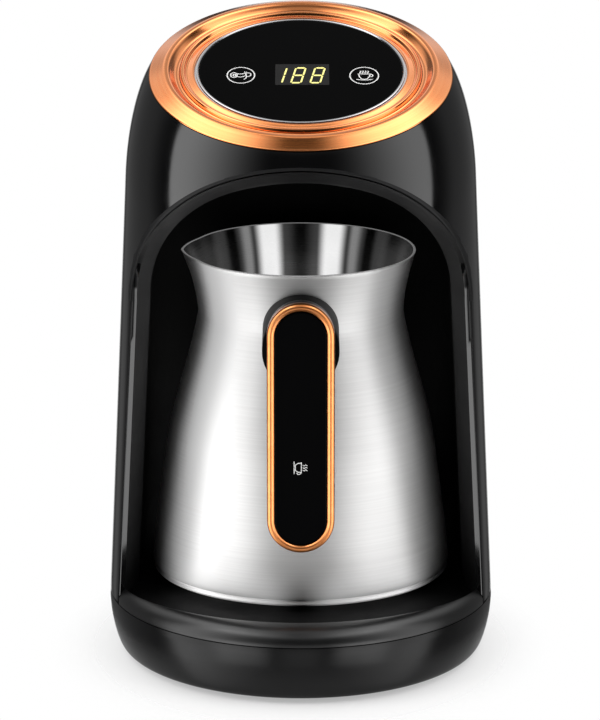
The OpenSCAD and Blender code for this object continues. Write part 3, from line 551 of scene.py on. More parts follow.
@dataclass(frozen=True)
class Circuit(Finish):
    """A circuit board: lacquer with a net of traces and round pads."""

    colour: Colour = (0.02, 0.16, 0.07)
    trace: Colour = (0.05, 0.30, 0.14)
    tin: Colour = (0.62, 0.60, 0.52)

    def shade(self, board: Board) -> Wire:
        """Builds lacquer, traces and pads.

        Args:
            board: The board to build on.

        Returns:
            The shader.
        """
        place = board.place()
        traces = board.node("ShaderNodeTexBrick", {"offset": 0.5},
                            {"Vector": place, "Scale": 420.0, "Mortar Size": 0.06}, "Fac")
        pads = board.node("ShaderNodeTexVoronoi", {"feature": "F1"},
                          {"Vector": place, "Scale": 330.0}, "Distance")
        pad = pads.smooth(0.28, 0.2)
        ground = board.mixed(traces, self.colour, self.trace)
        return board.node("ShaderNodeBsdfPrincipled", inputs={
            "Base Color": board.mixed(pad, ground, self.tin),
            "Metallic": pad * 0.8,
            "Roughness": pad.ramp(0.0, 1.0, 0.35, 0.45),
            "Normal": board.bump(traces, strength=0.5, depth=0.03 * MM)})


@dataclass(frozen=True)
class Lit(Finish):
    """Segments that shine by themselves, a little uneven as their light guides are."""

    colour: Colour = (1.0, 0.9, 0.4)
    glow: float = 0.8
    dip: float = 0.82

    def shade(self, board: Board) -> Wire:
        """Builds the glow.

        Args:
            board: The board to build on.

        Returns:
            The shader.
        """
        uneven = board.noise(board.place(), scale=900.0, detail=2.0)
        shine = board.mixed(uneven, self.colour, tuple(c * self.dip for c in self.colour))
        return board.node("ShaderNodeBsdfPrincipled", inputs={
            "Base Color": shine, "Roughness": 0.4, "Emission Color": shine, "Emission Strength": self.glow})


SHELL_BLACK = Moulded(
    "shell_black", (0.002, 0.002, 0.0022), (0.003, 0.003, 0.0032), roughness=0.1, unevenness=0.02,
    grain_mm=0.5, grain_depth_mm=0.0006, specular=0.74)
BASE_BLACK = Moulded(
    "base_black", (0.002, 0.002, 0.0022), (0.003, 0.003, 0.0032), roughness=0.24, unevenness=0.02,
    grain_mm=0.5, grain_depth_mm=0.0012, specular=0.3)
DECK_BLACK = Moulded(
    "deck_black", (0.002, 0.002, 0.0022), (0.003, 0.003, 0.0032), roughness=0.32, unevenness=0.03,
    grain_depth_mm=0.001, specular=0.62)
DISH_BLACK = Moulded(
    "dish_black", (0.003, 0.003, 0.0032), (0.004, 0.004, 0.0042), roughness=0.6, unevenness=0.04,
    grain_mm=0.4, specular=0.08)
BEZEL_BLACK = Moulded(
    "bezel_black", (0.005, 0.005, 0.0053), (0.007, 0.007, 0.0074), roughness=0.45, unevenness=0.04,
    grain_mm=0.35, grain_depth_mm=0.006, specular=0.24)
LINER_BLACK = Moulded(
    "liner_black", (0.002, 0.002, 0.002), (0.003, 0.003, 0.003), roughness=0.6, grain_mm=0.4,
    grain_depth_mm=0.008, specular=0.2)
COLLAR_BLACK = Moulded(
    "collar_black", (0.0015, 0.0015, 0.0016), (0.002, 0.002, 0.0022), roughness=0.45, unevenness=0.04,
    grain_mm=0.3, specular=0.03)
GRIP_BLACK = Moulded(
    "grip_black", (0.010, 0.010, 0.011), (0.014, 0.014, 0.015), roughness=0.36, unevenness=0.04, grain_mm=0.3,
    grain_depth_mm=0.005)
LENS_BLACK = Moulded(
    "lens_black", (0.0016, 0.0016, 0.0017), (0.0020, 0.0020, 0.0021), roughness=0.07, unevenness=0.01,
    grain_mm=1.2, grain_depth_mm=0.0004, specular=0.01)
INLAY_BLACK = Moulded(
    "inlay_black", (0.0016, 0.0016, 0.0018), (0.0022, 0.0022, 0.0024), roughness=0.12, unevenness=0.02,
    grain_mm=1.0, grain_depth_mm=0.0006, specular=0.015)
PLAIN_BLACK = Moulded(
    "plain_black", (0.012, 0.012, 0.0125), (0.018, 0.018, 0.0185), roughness=0.5, unevenness=0.06,
    grain_mm=0.4, grain_depth_mm=0.01)
RUBBER = Moulded(
    "rubber_black", (0.014, 0.014, 0.014), (0.022, 0.022, 0.022), roughness=0.75, unevenness=0.06,
    grain_mm=0.25, grain_depth_mm=0.02)
SILICONE = Moulded(
    "seal_silicone", (0.22, 0.06, 0.045), (0.28, 0.09, 0.07), roughness=0.6, grain_mm=0.3,
    grain_depth_mm=0.01)
CERAMIC = Moulded(
    "guide_ceramic", (0.72, 0.68, 0.58), (0.80, 0.77, 0.68), roughness=0.5, unevenness=0.08, grain_mm=0.3,
    grain_depth_mm=0.01)
RELAY_BLUE = Moulded("relay_blue", (0.02, 0.11, 0.34), (0.03, 0.15, 0.42), unevenness=0.04)
CAP_YELLOW = Moulded(
    "capacitor_yellow", (0.62, 0.42, 0.04), (0.72, 0.52, 0.08), roughness=0.42, unevenness=0.04)
TERMINAL_GREEN = Moulded(
    "terminal_green", (0.03, 0.26, 0.07), (0.05, 0.34, 0.11), roughness=0.45, unevenness=0.04)
LEAD_BROWN = Moulded("lead_brown", (0.18, 0.07, 0.03), (0.25, 0.10, 0.05), roughness=0.5, unevenness=0.04)
WINDOW_SMOKE = Moulded(
    "window_smoke", (0.02, 0.02, 0.03), (0.03, 0.03, 0.04), roughness=0.12, unevenness=0.02, grain_mm=1.0,
    grain_depth_mm=0.001, clear=0.35)
DISPLAY_GREY = Moulded(
    "display_grey", (0.013, 0.0128, 0.0128), (0.016, 0.0156, 0.0156), roughness=0.35, unevenness=0.03,
    grain_mm=0.8, grain_depth_mm=0.001, specular=0.05)
SIGN_WHITE = Moulded(
    "sign_white", (0.78, 0.78, 0.77), (0.84, 0.84, 0.83), roughness=0.5, unevenness=0.04, grain_mm=0.4,
    grain_depth_mm=0.002)
PLATE_DARK = Moulded(
    "plate_dark", (0.03, 0.03, 0.032), (0.042, 0.042, 0.044), roughness=0.5, unevenness=0.08, grain_mm=0.25,
    grain_depth_mm=0.02)
BOARD_GREEN = Circuit("board_green")
COPPER = Metal(
    "copper_bright", (0.95, 0.34, 0.11), (0.91, 0.29, 0.085), roughness=0.15, unevenness=0.03, lay=Lay.RING,
    line_mm=0.16, line_depth_mm=0.001, lacquer=0.4)
COPPER_BAND = Metal(
    "copper_band", (0.95, 0.36, 0.12), (0.91, 0.31, 0.09), roughness=0.32, unevenness=0.03, line_mm=0.5,
    line_depth_mm=0.0006, lacquer=0.3)
SILVER = Metal(
    "silver_trim", (0.56, 0.56, 0.57), (0.48, 0.48, 0.49), roughness=0.18, unevenness=0.03, lay=Lay.RING,
    line_mm=0.1, line_depth_mm=0.001)
# the pot's outside: painted shade in the middle, painted sheen on the sides and at the foot
POT_STEEL_PAINTED_SHEEN = PaintedSheen(
    "steel_brushed", (0.82, 0.815, 0.81), (0.77, 0.765, 0.76), roughness=0.5, unevenness=0.04, lay=Lay.POT,
    line_depth_mm=0.0009, metallic=0.66)
# the pot's inside: painted reflections in upright streaks
POT_INSIDE_PAINTED_REFLECTIONS = PaintedReflections(
    "steel_inside", (0.97, 0.965, 0.96), (0.90, 0.895, 0.89), unevenness=0.05, lay=Lay.POT, line_mm=0.22,
    line_depth_mm=0.0016, metallic=0.85)
# the rim: a painted glow
POT_RIM_PAINTED_GLOW = PaintedRimGlow(
    "steel_rim", (0.95, 0.95, 0.95), (0.90, 0.90, 0.90), unevenness=0.04, lay=Lay.POT, line_mm=0.2,
    line_depth_mm=0.0008, metallic=0.3)
SCREW_STEEL = Metal(
    "steel_screw", (0.58, 0.58, 0.59), (0.46, 0.46, 0.47), roughness=0.35, unevenness=0.08, line_mm=0.4,
    line_depth_mm=0.004)
PLAIN_STEEL = Metal(
    "steel_plain", (0.60, 0.60, 0.61), (0.50, 0.50, 0.51), roughness=0.38, unevenness=0.08, line_mm=0.3,
    line_depth_mm=0.004)
PLAIN_ALUMINIUM = Metal(
    "aluminium_plain", (0.76, 0.76, 0.77), (0.66, 0.66, 0.67), roughness=0.36, line_mm=0.25,
    line_depth_mm=0.003)
DIGIT_GLOW = Lit("digit_glow", (0.84, 0.78, 0.24), glow=0.6)


# -------------------- meshes


class Body(Enum):
    """The bodies that pieces of this file ride on."""

    MAKER = "maker"
    POT = "pot"


@dataclass
class Shape:
    """Points and faces of one piece while it is built, in millimetres."""

    points: list[Array] = field(default_factory=list)
    faces: list[tuple[int, ...]] = field(default_factory=list)
    count: int = 0

    def grid(self, rows: Array, ring: bool = False) -> "Shape":
        """Adds a grid of points whose rows are closed loops.

        Args:
            rows: Array of rows, columns and x, y, z.
            ring: True where the last row joins the first.

        Returns:
            This shape.
        """
        if ring:
            rows = np.concatenate([rows, rows[:1]])
        m, n = rows.shape[:2]
        for first in range(self.count, self.count + (m - 1) * n, n):
            for j in range(n):
                a, b = first + j, first + (j + 1) % n
                self.faces.append((a, b, b + n, a + n))
        self.points.append(rows.reshape(-1, 3))
        self.count += m * n
        return self

    def cap(self, loop: Array) -> "Shape":
        """Closes a loop with one face.

        Args:
            loop: The loop's points.

        Returns:
            This shape.
        """
        self.faces.append(tuple(range(self.count, self.count + len(loop))))
        self.points.append(np.asarray(loop, float))
        self.count += len(loop)
        return self

    def object(self, name: str, finish: Finish, sharp: float = 32.0) -> bpy.types.Object:
        """Makes the object: welds points, turns faces outward and shades it smooth up to an angle.

        Args:
            name: Name of the piece.
            finish: Its finish.
            sharp: Angle in degrees over which an edge stays sharp.

        Returns:
            The object, in metres.
        """
        mesh = bpy.data.meshes.new(name)
        mesh.from_pydata((np.concatenate(self.points) * MM).tolist(), [], self.faces)
        work = bmesh.new()
        work.from_mesh(mesh)
        bmesh.ops.remove_doubles(work, verts=work.verts, dist=WELD)
        bmesh.ops.dissolve_degenerate(work, dist=WELD / 2, edges=work.edges)
        loose = [v for v in work.verts if not v.link_faces]
        bmesh.ops.delete(work, geom=loose, context="VERTS")
        bmesh.ops.recalc_face_normals(work, faces=work.faces)
        work.to_mesh(mesh)
        work.free()
        mesh.shade_smooth()
        mesh.set_sharp_from_angle(angle=math.radians(sharp))
        made = bpy.data.objects.new(name, mesh)
        bpy.context.scene.collection.objects.link(made)
        made.data.materials.append(finish.material())
        return made


def seat(piece: bpy.types.Object, body: Body, slot: str, *nodes: str) -> None:
    """Lets a piece ride on its body and stand for CAD nodes.

    Args:
        piece: The piece.
        body: The body that it moves with.
        slot: The record's material slot, which is not used.
        nodes: CAD nodes that it replaces.
    """
    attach(piece, body.value)
    if nodes:
        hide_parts(*nodes)
    LOG.info("%s: %d faces on %s", piece.name, len(piece.data.polygons), body.value)


def cut(piece: bpy.types.Object, cutters: Sequence[bpy.types.Object], sharp: float) -> None:
    """Cuts solids out of a piece.

    Args:
        piece: The piece, which is changed.
        cutters: The solids, which are used up.
        sharp: Angle in degrees over which an edge stays sharp.
    """
    for tool in cutters:
        change = piece.modifiers.new("cut", "BOOLEAN")
        change.operation, change.solver, change.object = "DIFFERENCE", "EXACT", tool
    graph = bpy.context.evaluated_depsgraph_get()
    done = bpy.data.meshes.new_from_object(piece.evaluated_get(graph))
    piece.modifiers.clear()
    old, piece.data = piece.data, done
    name = old.name
    bpy.data.meshes.remove(old)
    done.name = name
    done.shade_smooth()
    done.set_sharp_from_angle(angle=math.radians(sharp))
    for tool in cutters:
        bpy.data.objects.remove(tool)


def dress(piece: bpy.types.Object, finish: Finish, chosen: Callable[[Vector, Vector], bool]) -> None:
    """Gives some faces of a piece a finish of their own.

    Args:
        piece: The piece.
        finish: The finish.
        chosen: Tells from a face's centre in millimetres and its normal whether the face gets it.
    """
    piece.data.materials.append(finish.material())
    number = len(piece.data.materials) - 1
    for face in piece.data.polygons:
        if chosen(face.center / MM, face.normal):
            face.material_index = number


def bisected(low: float, high: float, shape: tuple[int, ...], short: Callable[[Array], Array]) -> Array:
    """Closes in on the value at which a test stops to hold, for many places at once.

    Args:
        low: Value under every result.
        high: Value over every result.
        shape: Shape of the result.
        short: Tells for each place whether a value is still too small.

    Returns:
        The values.
    """
    below, above = np.full(shape, low), np.full(shape, high)
    for _ in range(40):
        middle = (below + above) / 2
        small = short(middle)
        below, above = np.where(small, middle, below), np.where(small, above, middle)
    return (below + above) / 2


def curve_through(points: Sequence[Sequence[float]], steps: int) -> Array:
    """A smooth line through points.

    Args:
        points: The points, each with the same number of values.
        steps: Pieces between two points.

    Returns:
        Points along the line.
    """
    p = np.asarray(points, float)
    q = np.concatenate([[2 * p[0] - p[1]], p, [2 * p[-1] - p[-2]]])
    made = []
    for k in range(len(p) - 1):
        a, b, c, d = q[k:k + 4]
        for t in np.arange(steps) / steps:
            made.append(0.5 * (2 * b + (c - a) * t + (2 * a - 5 * b + 4 * c - d) * t * t
                               + (3 * b - a - 3 * c + d) * t ** 3))
    return np.array([*made, p[-1]])


def revolved(profile: Sequence[tuple[float, float]] | Array, sides: int, axis_y: float = 0.0) -> Array:
    """Rows of loops for a profile turned about an upright axis.

    Args:
        profile: Radius and height of each row.
        sides: Points in a loop.
        axis_y: y of the axis.

    Returns:
        The rows.
    """
    a = np.arange(sides) * 2 * np.pi / sides
    r, z = np.asarray(profile, float).T[:, :, None]
    return np.stack([r * np.cos(a), axis_y + r * np.sin(a), z + 0 * a], -1)


def arc(centre: Sequence[float], radius: float, start: float, end: float,
        steps: int) -> list[tuple[float, float]]:
    """Points on a circle's arc.

    Args:
        centre: The circle's centre.
        radius: Its radius.
        start: First angle in degrees.
        end: Last angle in degrees.
        steps: Pieces of the arc.

    Returns:
        The points.
    """
    return [(centre[0] + radius * math.cos(math.radians(a)), centre[1] + radius * math.sin(math.radians(a)))
            for a in np.linspace(start, end, steps + 1)]


def prism(loop: Sequence[tuple[float, float]], reach: Limits) -> Shape:
    """A solid with one section along Y.

    Args:
        loop: x, z points of the section.
        reach: y of its two ends.

    Returns:
        The solid.
    """
    rows = np.array([[(x, y, z) for x, z in loop] for y in reach])
    return Shape().grid(rows).cap(rows[0]).cap(rows[1])


# -------------------- the body's form


@dataclass(frozen=True)
class Form:
    """The round tapered form that base, shell and top ring share."""

    half_w: float = 70.0
    front: float = 76.0
    back: float = 100.0
    axis_y: float = -12.0
    seam_h: float = 22.0
    groove: float = 0.35
    wall: float = 2.5
    side_draft: float = 0.0445
    back_draft: float = 0.07
    shoulder: float = 178.8
    back_shoulder: float = 154.0
    side_round: float = 0.85
    back_round: float = 0.9
    lean_from: float = 89.0
    ring_h: float = 214.3
    ring_r: float = 54.35
    ring_lean: float = 18.2
    ring_forward: float = 5.3
    split_y: float = 40.0

    @property
    def foot(self) -> float:
        """Height at which the shell stands on the base."""
        return self.seam_h + self.groove

    @staticmethod
    def ease(t: Array) -> Array:
        """0 to 1 with flat ends."""
        c = np.clip(t, 0, 1)
        return c * c * (3 - 2 * c)

    @staticmethod
    def round_over(t: Array, c: float) -> Array:
        """Quarter of an ellipse from 0 to 1, stopped where its slope is still finite."""
        s = np.clip(t, 0, 1)
        return (1 - np.sqrt(1 - c * c * s * s)) / (1 - math.sqrt(1 - c * c))

    def rise(self, h: Array) -> Array:
        """Share of the lean at section height h."""
        return self.ease((h - self.lean_from) / (self.ring_h - self.lean_from))

    def side(self, h: Array) -> Array:
        """Half width of section h.

        Args:
            h: Section height.

        Returns:
            The half width.
        """
        top = self.half_w - self.side_draft * (self.ring_h - self.seam_h)
        t = (h - self.shoulder) / (self.ring_h - self.shoulder)
        drop = (top - self.ring_r) * self.round_over(t, self.side_round)
        return self.half_w - self.side_draft * (h - self.seam_h) - drop

    def reach(self, h: Array, rear: Array) -> Array:
        """Distance from the axis to the front or, where rear is true, to the back of section h.

        Args:
            h: Section height.
            rear: True for the back.

        Returns:
            The distance.
        """
        top = self.back - self.back_draft * (self.ring_h - self.seam_h)
        t = (h - self.back_shoulder) / (self.ring_h - self.back_shoulder)
        drop = (top - self.ring_r) * self.round_over(t, self.back_round)
        backward = self.back - self.back_draft * (h - self.seam_h) - drop
        forward = self.side(h) * (1 + (self.front / self.half_w - 1) * (1 - self.rise(h)))
        return np.where(rear, backward, forward)

    def point(self, h: Array, a: Array, inset: Array = 0.0) -> Array:
        """A point of the surface.

        Args:
            h: Section height.
            a: Angle round the body in degrees, 0 to the right and -90 to the front.
            inset: Depth under the surface.

        Returns:
            The point or points.
        """
        h, a, inset = np.broadcast_arrays(*(np.asarray(value, float) for value in (h, a, inset)))
        turn = np.radians(a)
        tilt = np.radians(self.ring_lean) * self.rise(h)
        along = (self.reach(h, np.sin(turn) >= 0) - inset) * np.sin(turn)
        return np.stack([(self.side(h) - inset) * np.cos(turn),
                         self.axis_y - self.ring_forward * self.rise(h) + along * np.cos(tilt),
                         h + along * np.sin(tilt)], -1)

    def front_section(self, x: Array, z: Array) -> Array:
        """Section height at which the front surface passes through x, z.

        Args:
            x: Place across.
            z: Height of the place.

        Returns:
            The section height.
        """
        x, z = np.broadcast_arrays(np.asarray(x, float), np.asarray(z, float))

        def under(h: Array) -> Array:
            """Whether the surface of section h is still under the point."""
            along = self.reach(h, False) * np.sqrt(np.maximum(1 - (x / self.side(h)) ** 2, 0))
            return h - along * np.sin(np.radians(self.ring_lean) * self.rise(h)) <= z

        return bisected(self.seam_h - 2.0, self.ring_h, x.shape, under)

    def front_angle(self, x: Array, z: Array) -> tuple[Array, Array]:
        """Section height and angle of the front surface's point at x, z."""
        h = self.front_section(x, z)
        return h, -np.degrees(np.arccos(np.clip(np.asarray(x) / self.side(h), -1, 1)))

    def front_y(self, x: Array, z: Array) -> Array:
        """y of the front surface at x, z."""
        return self.point(*self.front_angle(x, z))[..., 1]

    def split_section(self, a: Array, plane: float) -> Array:
        """Section height at which the back surface at angle a crosses the plane y."""
        a = np.asarray(a, float)
        return bisected(self.seam_h - 2.0, self.ring_h, a.shape, lambda h: self.point(h, a)[..., 1] > plane)

    def split_angle(self, h: Array, plane: float) -> Array:
        """Angle at which section h crosses the plane y, on the right.

        Args:
            h: Section height.
            plane: y of the plane.

        Returns:
            The angle in degrees.
        """
        h = np.asarray(h, float)
        tilt = np.radians(self.ring_lean) * self.rise(h)
        s = (plane - self.axis_y + self.ring_forward * self.rise(h)) / (self.reach(h, True) * np.cos(tilt))
        return np.degrees(np.arcsin(np.clip(s, -1, 1)))

    def outline(self, inset: Array, sides: int) -> Array:
        """Plan outlines of the base.

        Args:
            inset: Depth of each outline.
            sides: Points in an outline.

        Returns:
            x, y of each outline's points.
        """
        a = np.arange(sides) * 2 * np.pi / sides
        inset = np.asarray(inset, float)[..., None]
        deep = np.where(np.sin(a) < 0, self.front, self.back)
        return np.stack([(self.half_w - inset) * np.cos(a), self.axis_y + (deep - inset) * np.sin(a)], -1)


@dataclass(frozen=True)
class Arch:
    """The arched opening's line and the round room behind it."""

    pot_y: float = 4.0
    room_r: float = 62.59
    half_w: float = 61.0
    spread: float = 0.05
    crown_h: float = 191.0
    crown_r: float = 75.0
    haunch_r: float = 54.0
    bezel_w: float = 7.0
    crown_steps: int = 20
    haunch_steps: int = 40
    side_steps: int = 26

    @property
    def haunch(self) -> tuple[float, float, float]:
        """Centre x, z of the right haunch and the angle at which the crown's arc takes over.

        Returns:
            x, z and the angle in radians.
        """
        x, crown_z = self.half_w - self.haunch_r, self.crown_h - self.crown_r
        z = crown_z + math.sqrt((self.crown_r - self.haunch_r) ** 2 - x * x)
        return x, z, math.atan2(z - crown_z, x)

    def side(self, inset: float, z: Array) -> Array:
        """Half width of the arch's straight sides at height z."""
        return self.half_w - inset + self.spread * (self.haunch[1] - z)

    def right_line(self, inset: float, foot: float) -> Array:
        """x, z points of the right half, from the crown down to the foot.

        Args:
            inset: Distance inside the arch's line.
            foot: Height of the line's end.

        Returns:
            The points.
        """
        hx, hz, turn = self.haunch
        crown_z, crown_r, haunch_r = self.crown_h - self.crown_r, self.crown_r - inset, self.haunch_r - inset
        a = np.linspace(np.pi / 2, turn, self.crown_steps + 1)
        crown = np.stack([crown_r * np.cos(a), crown_z + crown_r * np.sin(a)], -1)
        b = np.linspace(turn, 0, self.haunch_steps + 1)[1:]
        haunch = np.stack([hx + haunch_r * np.cos(b), hz + haunch_r * np.sin(b)], -1)
        z = hz + (foot - hz) * np.linspace(0, 1, self.side_steps + 1)[1:]
        side = np.stack([self.side(inset, z), z], -1)
        return np.concatenate([crown, haunch, side])


FORM = Form()
ARCH = Arch()


@dataclass(frozen=True)
class Shells:
    """Main shell, rear cover and the strip round the arch."""

    form: Form = FORM
    arch: Arch = ARCH
    arch_edge: float = 0.9
    edge: float = 0.35
    gap: float = 0.2
    vents: int = 6
    vent_low: float = 123.3
    vent_pitch: float = 7.0
    vent_half_h: float = 1.3
    vent_half_w: float = 17.0
    vent_reach: Limits = (58.0, 98.0)
    bezel_t: float = 2.4
    bezel_in: float = 0.15
    bezel_edge: float = 0.5

    def _half_edge(self) -> tuple[Array, Array, Array]:
        """The main shell's lower edge on the right, from the crown round to the back's middle.

        Returns:
            Section height and angle of the edge, the same a little outside it, and the rounding.
        """
        f = self.form
        inner = self.arch.right_line(0.0, f.foot)
        outer = self.arch.right_line(-self.arch_edge, f.foot + self.edge)
        h1, a1 = f.front_angle(*inner.T)
        h0, a0 = f.front_angle(*outer.T)
        low, near = f.foot, f.foot + self.edge
        plane = f.split_y - self.gap
        a_foot1, a_foot0 = f.split_angle(low, plane), f.split_angle(near, plane - self.edge)
        share = np.linspace(0, 1, 24)[1:-1]
        foot0 = a0[-1] + (a_foot0 - a0[-1]) * share
        foot1 = a0[-1] + 0.2 + (a_foot1 - 0.4 - a0[-1]) * share
        climb0, climb1 = np.linspace(near, f.shoulder, 28), np.linspace(low, f.shoulder, 28)
        up0, up1 = f.split_angle(climb0, plane - self.edge), f.split_angle(climb1, plane)
        turn = np.linspace(0, 1, 26)[1:]
        top0 = up0[-1] + (90 - up0[-1]) * turn
        top1 = up1[-1] + (90 - up1[-1]) * turn
        crest1, crest0 = f.split_section(top1, plane), f.split_section(top0, plane - self.edge)
        edge = (np.concatenate([h1, np.full(len(foot1), low), climb1, crest1]),
                np.concatenate([a1, foot1, up1, top1]))
        near_edge = (np.concatenate([h0, np.full(len(foot0), near), climb0, crest0]),
                     np.concatenate([a0, foot0, up0, top0]))
        rest = len(foot1) + len(up1) + len(top1)
        depth = np.concatenate([np.full(len(h1), self.arch_edge), np.full(rest, self.edge)])
        return np.array(edge), np.array(near_edge), depth

    @staticmethod
    def _both(half: Array, angles: bool = False) -> Array:
        """A right half and its mirrored left half as one loop.

        Args:
            half: Values of the right half.
            angles: True for angles in degrees, which count from the other side on the left.

        Returns:
            The values all round.
        """
        left = half[-2:0:-1]
        return np.concatenate([half, 180 - left if angles else left])

    def main_shell(self) -> Shape:
        """The front and sides as a closed solid with rounded edges.

        Returns:
            The shape.
        """
        f = self.form
        edge, near, depth = self._half_edge()
        h1, a1 = self._both(edge[0]), self._both(edge[1], angles=True)
        h0, a0 = self._both(near[0]), self._both(near[1], angles=True)
        depth = self._both(depth)
        even = -90 + 360 * np.arange(len(h0)) / len(h0)
        rim = 0.4 * a0 + 0.6 * even
        rows = []
        for t in np.linspace(0, 1, 64) ** 1.45:
            rows.append(f.point(f.ring_h + (h0 - f.ring_h) * t, rim + (a0 - rim) * t ** 0.8))
        for bend in np.radians([18, 36, 54, 72, 90]):
            s, d = math.sin(bend), 1 - math.cos(bend)
            rows.append(f.point(h0 + (h1 - h0) * s, a0 + (a1 - a0) * s, depth * d))
        for t in np.linspace(1, 0, 16) ** 1.3:
            rows.append(f.point(f.ring_h + (h1 - f.ring_h) * t, rim + (a1 - rim) * t ** 0.8, f.wall))
        return Shape().grid(np.array(rows), ring=True)

    def _at_arch(self, place: Vector, normal: Vector) -> bool:
        """True for the faces of the rounding at the arch's edge.

        Args:
            place: Centre of a face.
            normal: Its normal.

        Returns:
            Whether it lies in front, within the rounding, and doesn't face sideways.
        """
        if place.y > -30 or place.z > self.arch.crown_h + 9 or abs(normal.x) > 0.93:
            return False
        line = self.arch.right_line(0.0, self.form.foot)
        return bool(np.hypot(line[:, 0] - abs(place.x), line[:, 1] - place.z).min() < self.arch_edge + 0.6)

    def rear_cover(self) -> Shape:
        """The back as a closed solid.

        Returns:
            The shape.
        """
        f = self.form
        plane = f.split_y
        high = float(f.split_section(90.0, plane))
        low = f.foot + self.edge
        share = np.linspace(0, 1, 74)[1:]
        heights = np.concatenate([[f.foot, f.foot + self.edge * 0.4, low],
                                  low + (high - low) * (1 - (1 - share) ** 1.8)])
        soft = [self.edge, self.edge * 0.2, 0]
        insets = np.concatenate([soft, np.zeros(len(share))])
        inner_share = np.linspace(0, 1, 21)
        rows = []
        for h, inset in zip(heights, insets):
            a1 = float(f.split_angle(min(h, high), plane))
            a0 = min(float(f.split_angle(min(h, high), plane + self.edge)), 90.0)
            right = np.array([a1, a1 + (a0 - a1) * 0.4, a0])
            middle = np.linspace(a0, 180 - a0, 64)[1:-1]
            angles = np.concatenate([right, middle, 180 - right[::-1]])
            deep = np.concatenate([soft, np.zeros(len(middle)), soft[::-1]])
            outer = f.point(h, angles, np.maximum(deep, inset))
            inner = f.point(h, 180 - a1 - (180 - 2 * a1) * inner_share, f.wall)
            rows.append(np.concatenate([outer, inner]))
        shape = Shape().grid(np.array(rows))
        count, inner_count = len(angles), len(inner_share)
        near = np.round(np.linspace(0, count - 1, inner_count)).astype(int)
        first = rows[0]
        for j in range(inner_count - 1):
            last = count + inner_count - 1 - j
            shape.cap(np.concatenate([first[near[j]:near[j + 1] + 1], first[last - 1:last + 1]]))
        return shape

    def vent_cutters(self) -> list[bpy.types.Object]:
        """The solids of the slots in the rear cover.

        Returns:
            The solids.
        """
        made = []
        half, end = self.vent_half_h, self.vent_half_w - self.vent_half_h
        for k in range(self.vents):
            middle = self.vent_low + self.vent_pitch * k
            loop = arc((end, middle), half, -90, 90, 8) + arc((-end, middle), half, 90, 270, 8)
            made.append(prism(loop, self.vent_reach).object(f"vent_tool_{k}", SHELL_BLACK))
        return made

    def bezel(self) -> Shape:
        """The sloping strip round the arch's edge, with softened edges.

        Returns:
            The shape.
        """
        f = self.form
        outer = self.arch.right_line(self.bezel_in, f.foot)
        inner = self.arch.right_line(self.arch.bezel_w, f.foot)
        flip = np.array([-1.0, 1.0])
        outer = np.concatenate([(outer * flip)[::-1], outer[1:]])
        inner = np.concatenate([(inner * flip)[::-1], inner[1:]])
        yo = f.front_y(outer[:, 0], outer[:, 1]) + self.bezel_in
        yi = self.arch.pot_y - np.sqrt(self.arch.room_r ** 2 - inner[:, 0] ** 2)
        o = np.stack([outer[:, 0], yo, outer[:, 1]], -1)
        i = np.stack([inner[:, 0], yi, inner[:, 1]], -1)
        across = (i - o) / np.linalg.norm(i - o, axis=1, keepdims=True)
        deep = np.array([0.0, 1.0, 0.0])
        soft = self.bezel_edge
        rows = [o + deep * soft, o + (across + deep) * soft * 0.3, o + across * soft,
                *[o + (i - o) * t for t in (0.25, 0.5, 0.75)],
                i - across * soft, i - across * soft * 0.3 + deep * soft * 0.3, i + deep * soft,
                i + deep * self.bezel_t, o + deep * self.bezel_t]
        grid = np.array(rows).transpose(1, 0, 2)
        return Shape().grid(grid).cap(grid[0]).cap(grid[-1])

    def build(self) -> None:
        """Builds and seats the pieces."""
        shell = self.main_shell().object("body_shell", SHELL_BLACK, 28)
        dress(shell, BEZEL_BLACK, self._at_arch)
        seat(shell, Body.MAKER, "black_shell", "main_shell")
        cover = self.rear_cover().object("back_cover", SHELL_BLACK, 28)
        cut(cover, self.vent_cutters(), 28)
        seat(cover, Body.MAKER, "black_shell", "rear_cover")
        seat(self.bezel().object("arch_strip", BEZEL_BLACK, 28), Body.MAKER, "black_satin", "arch_bezel")


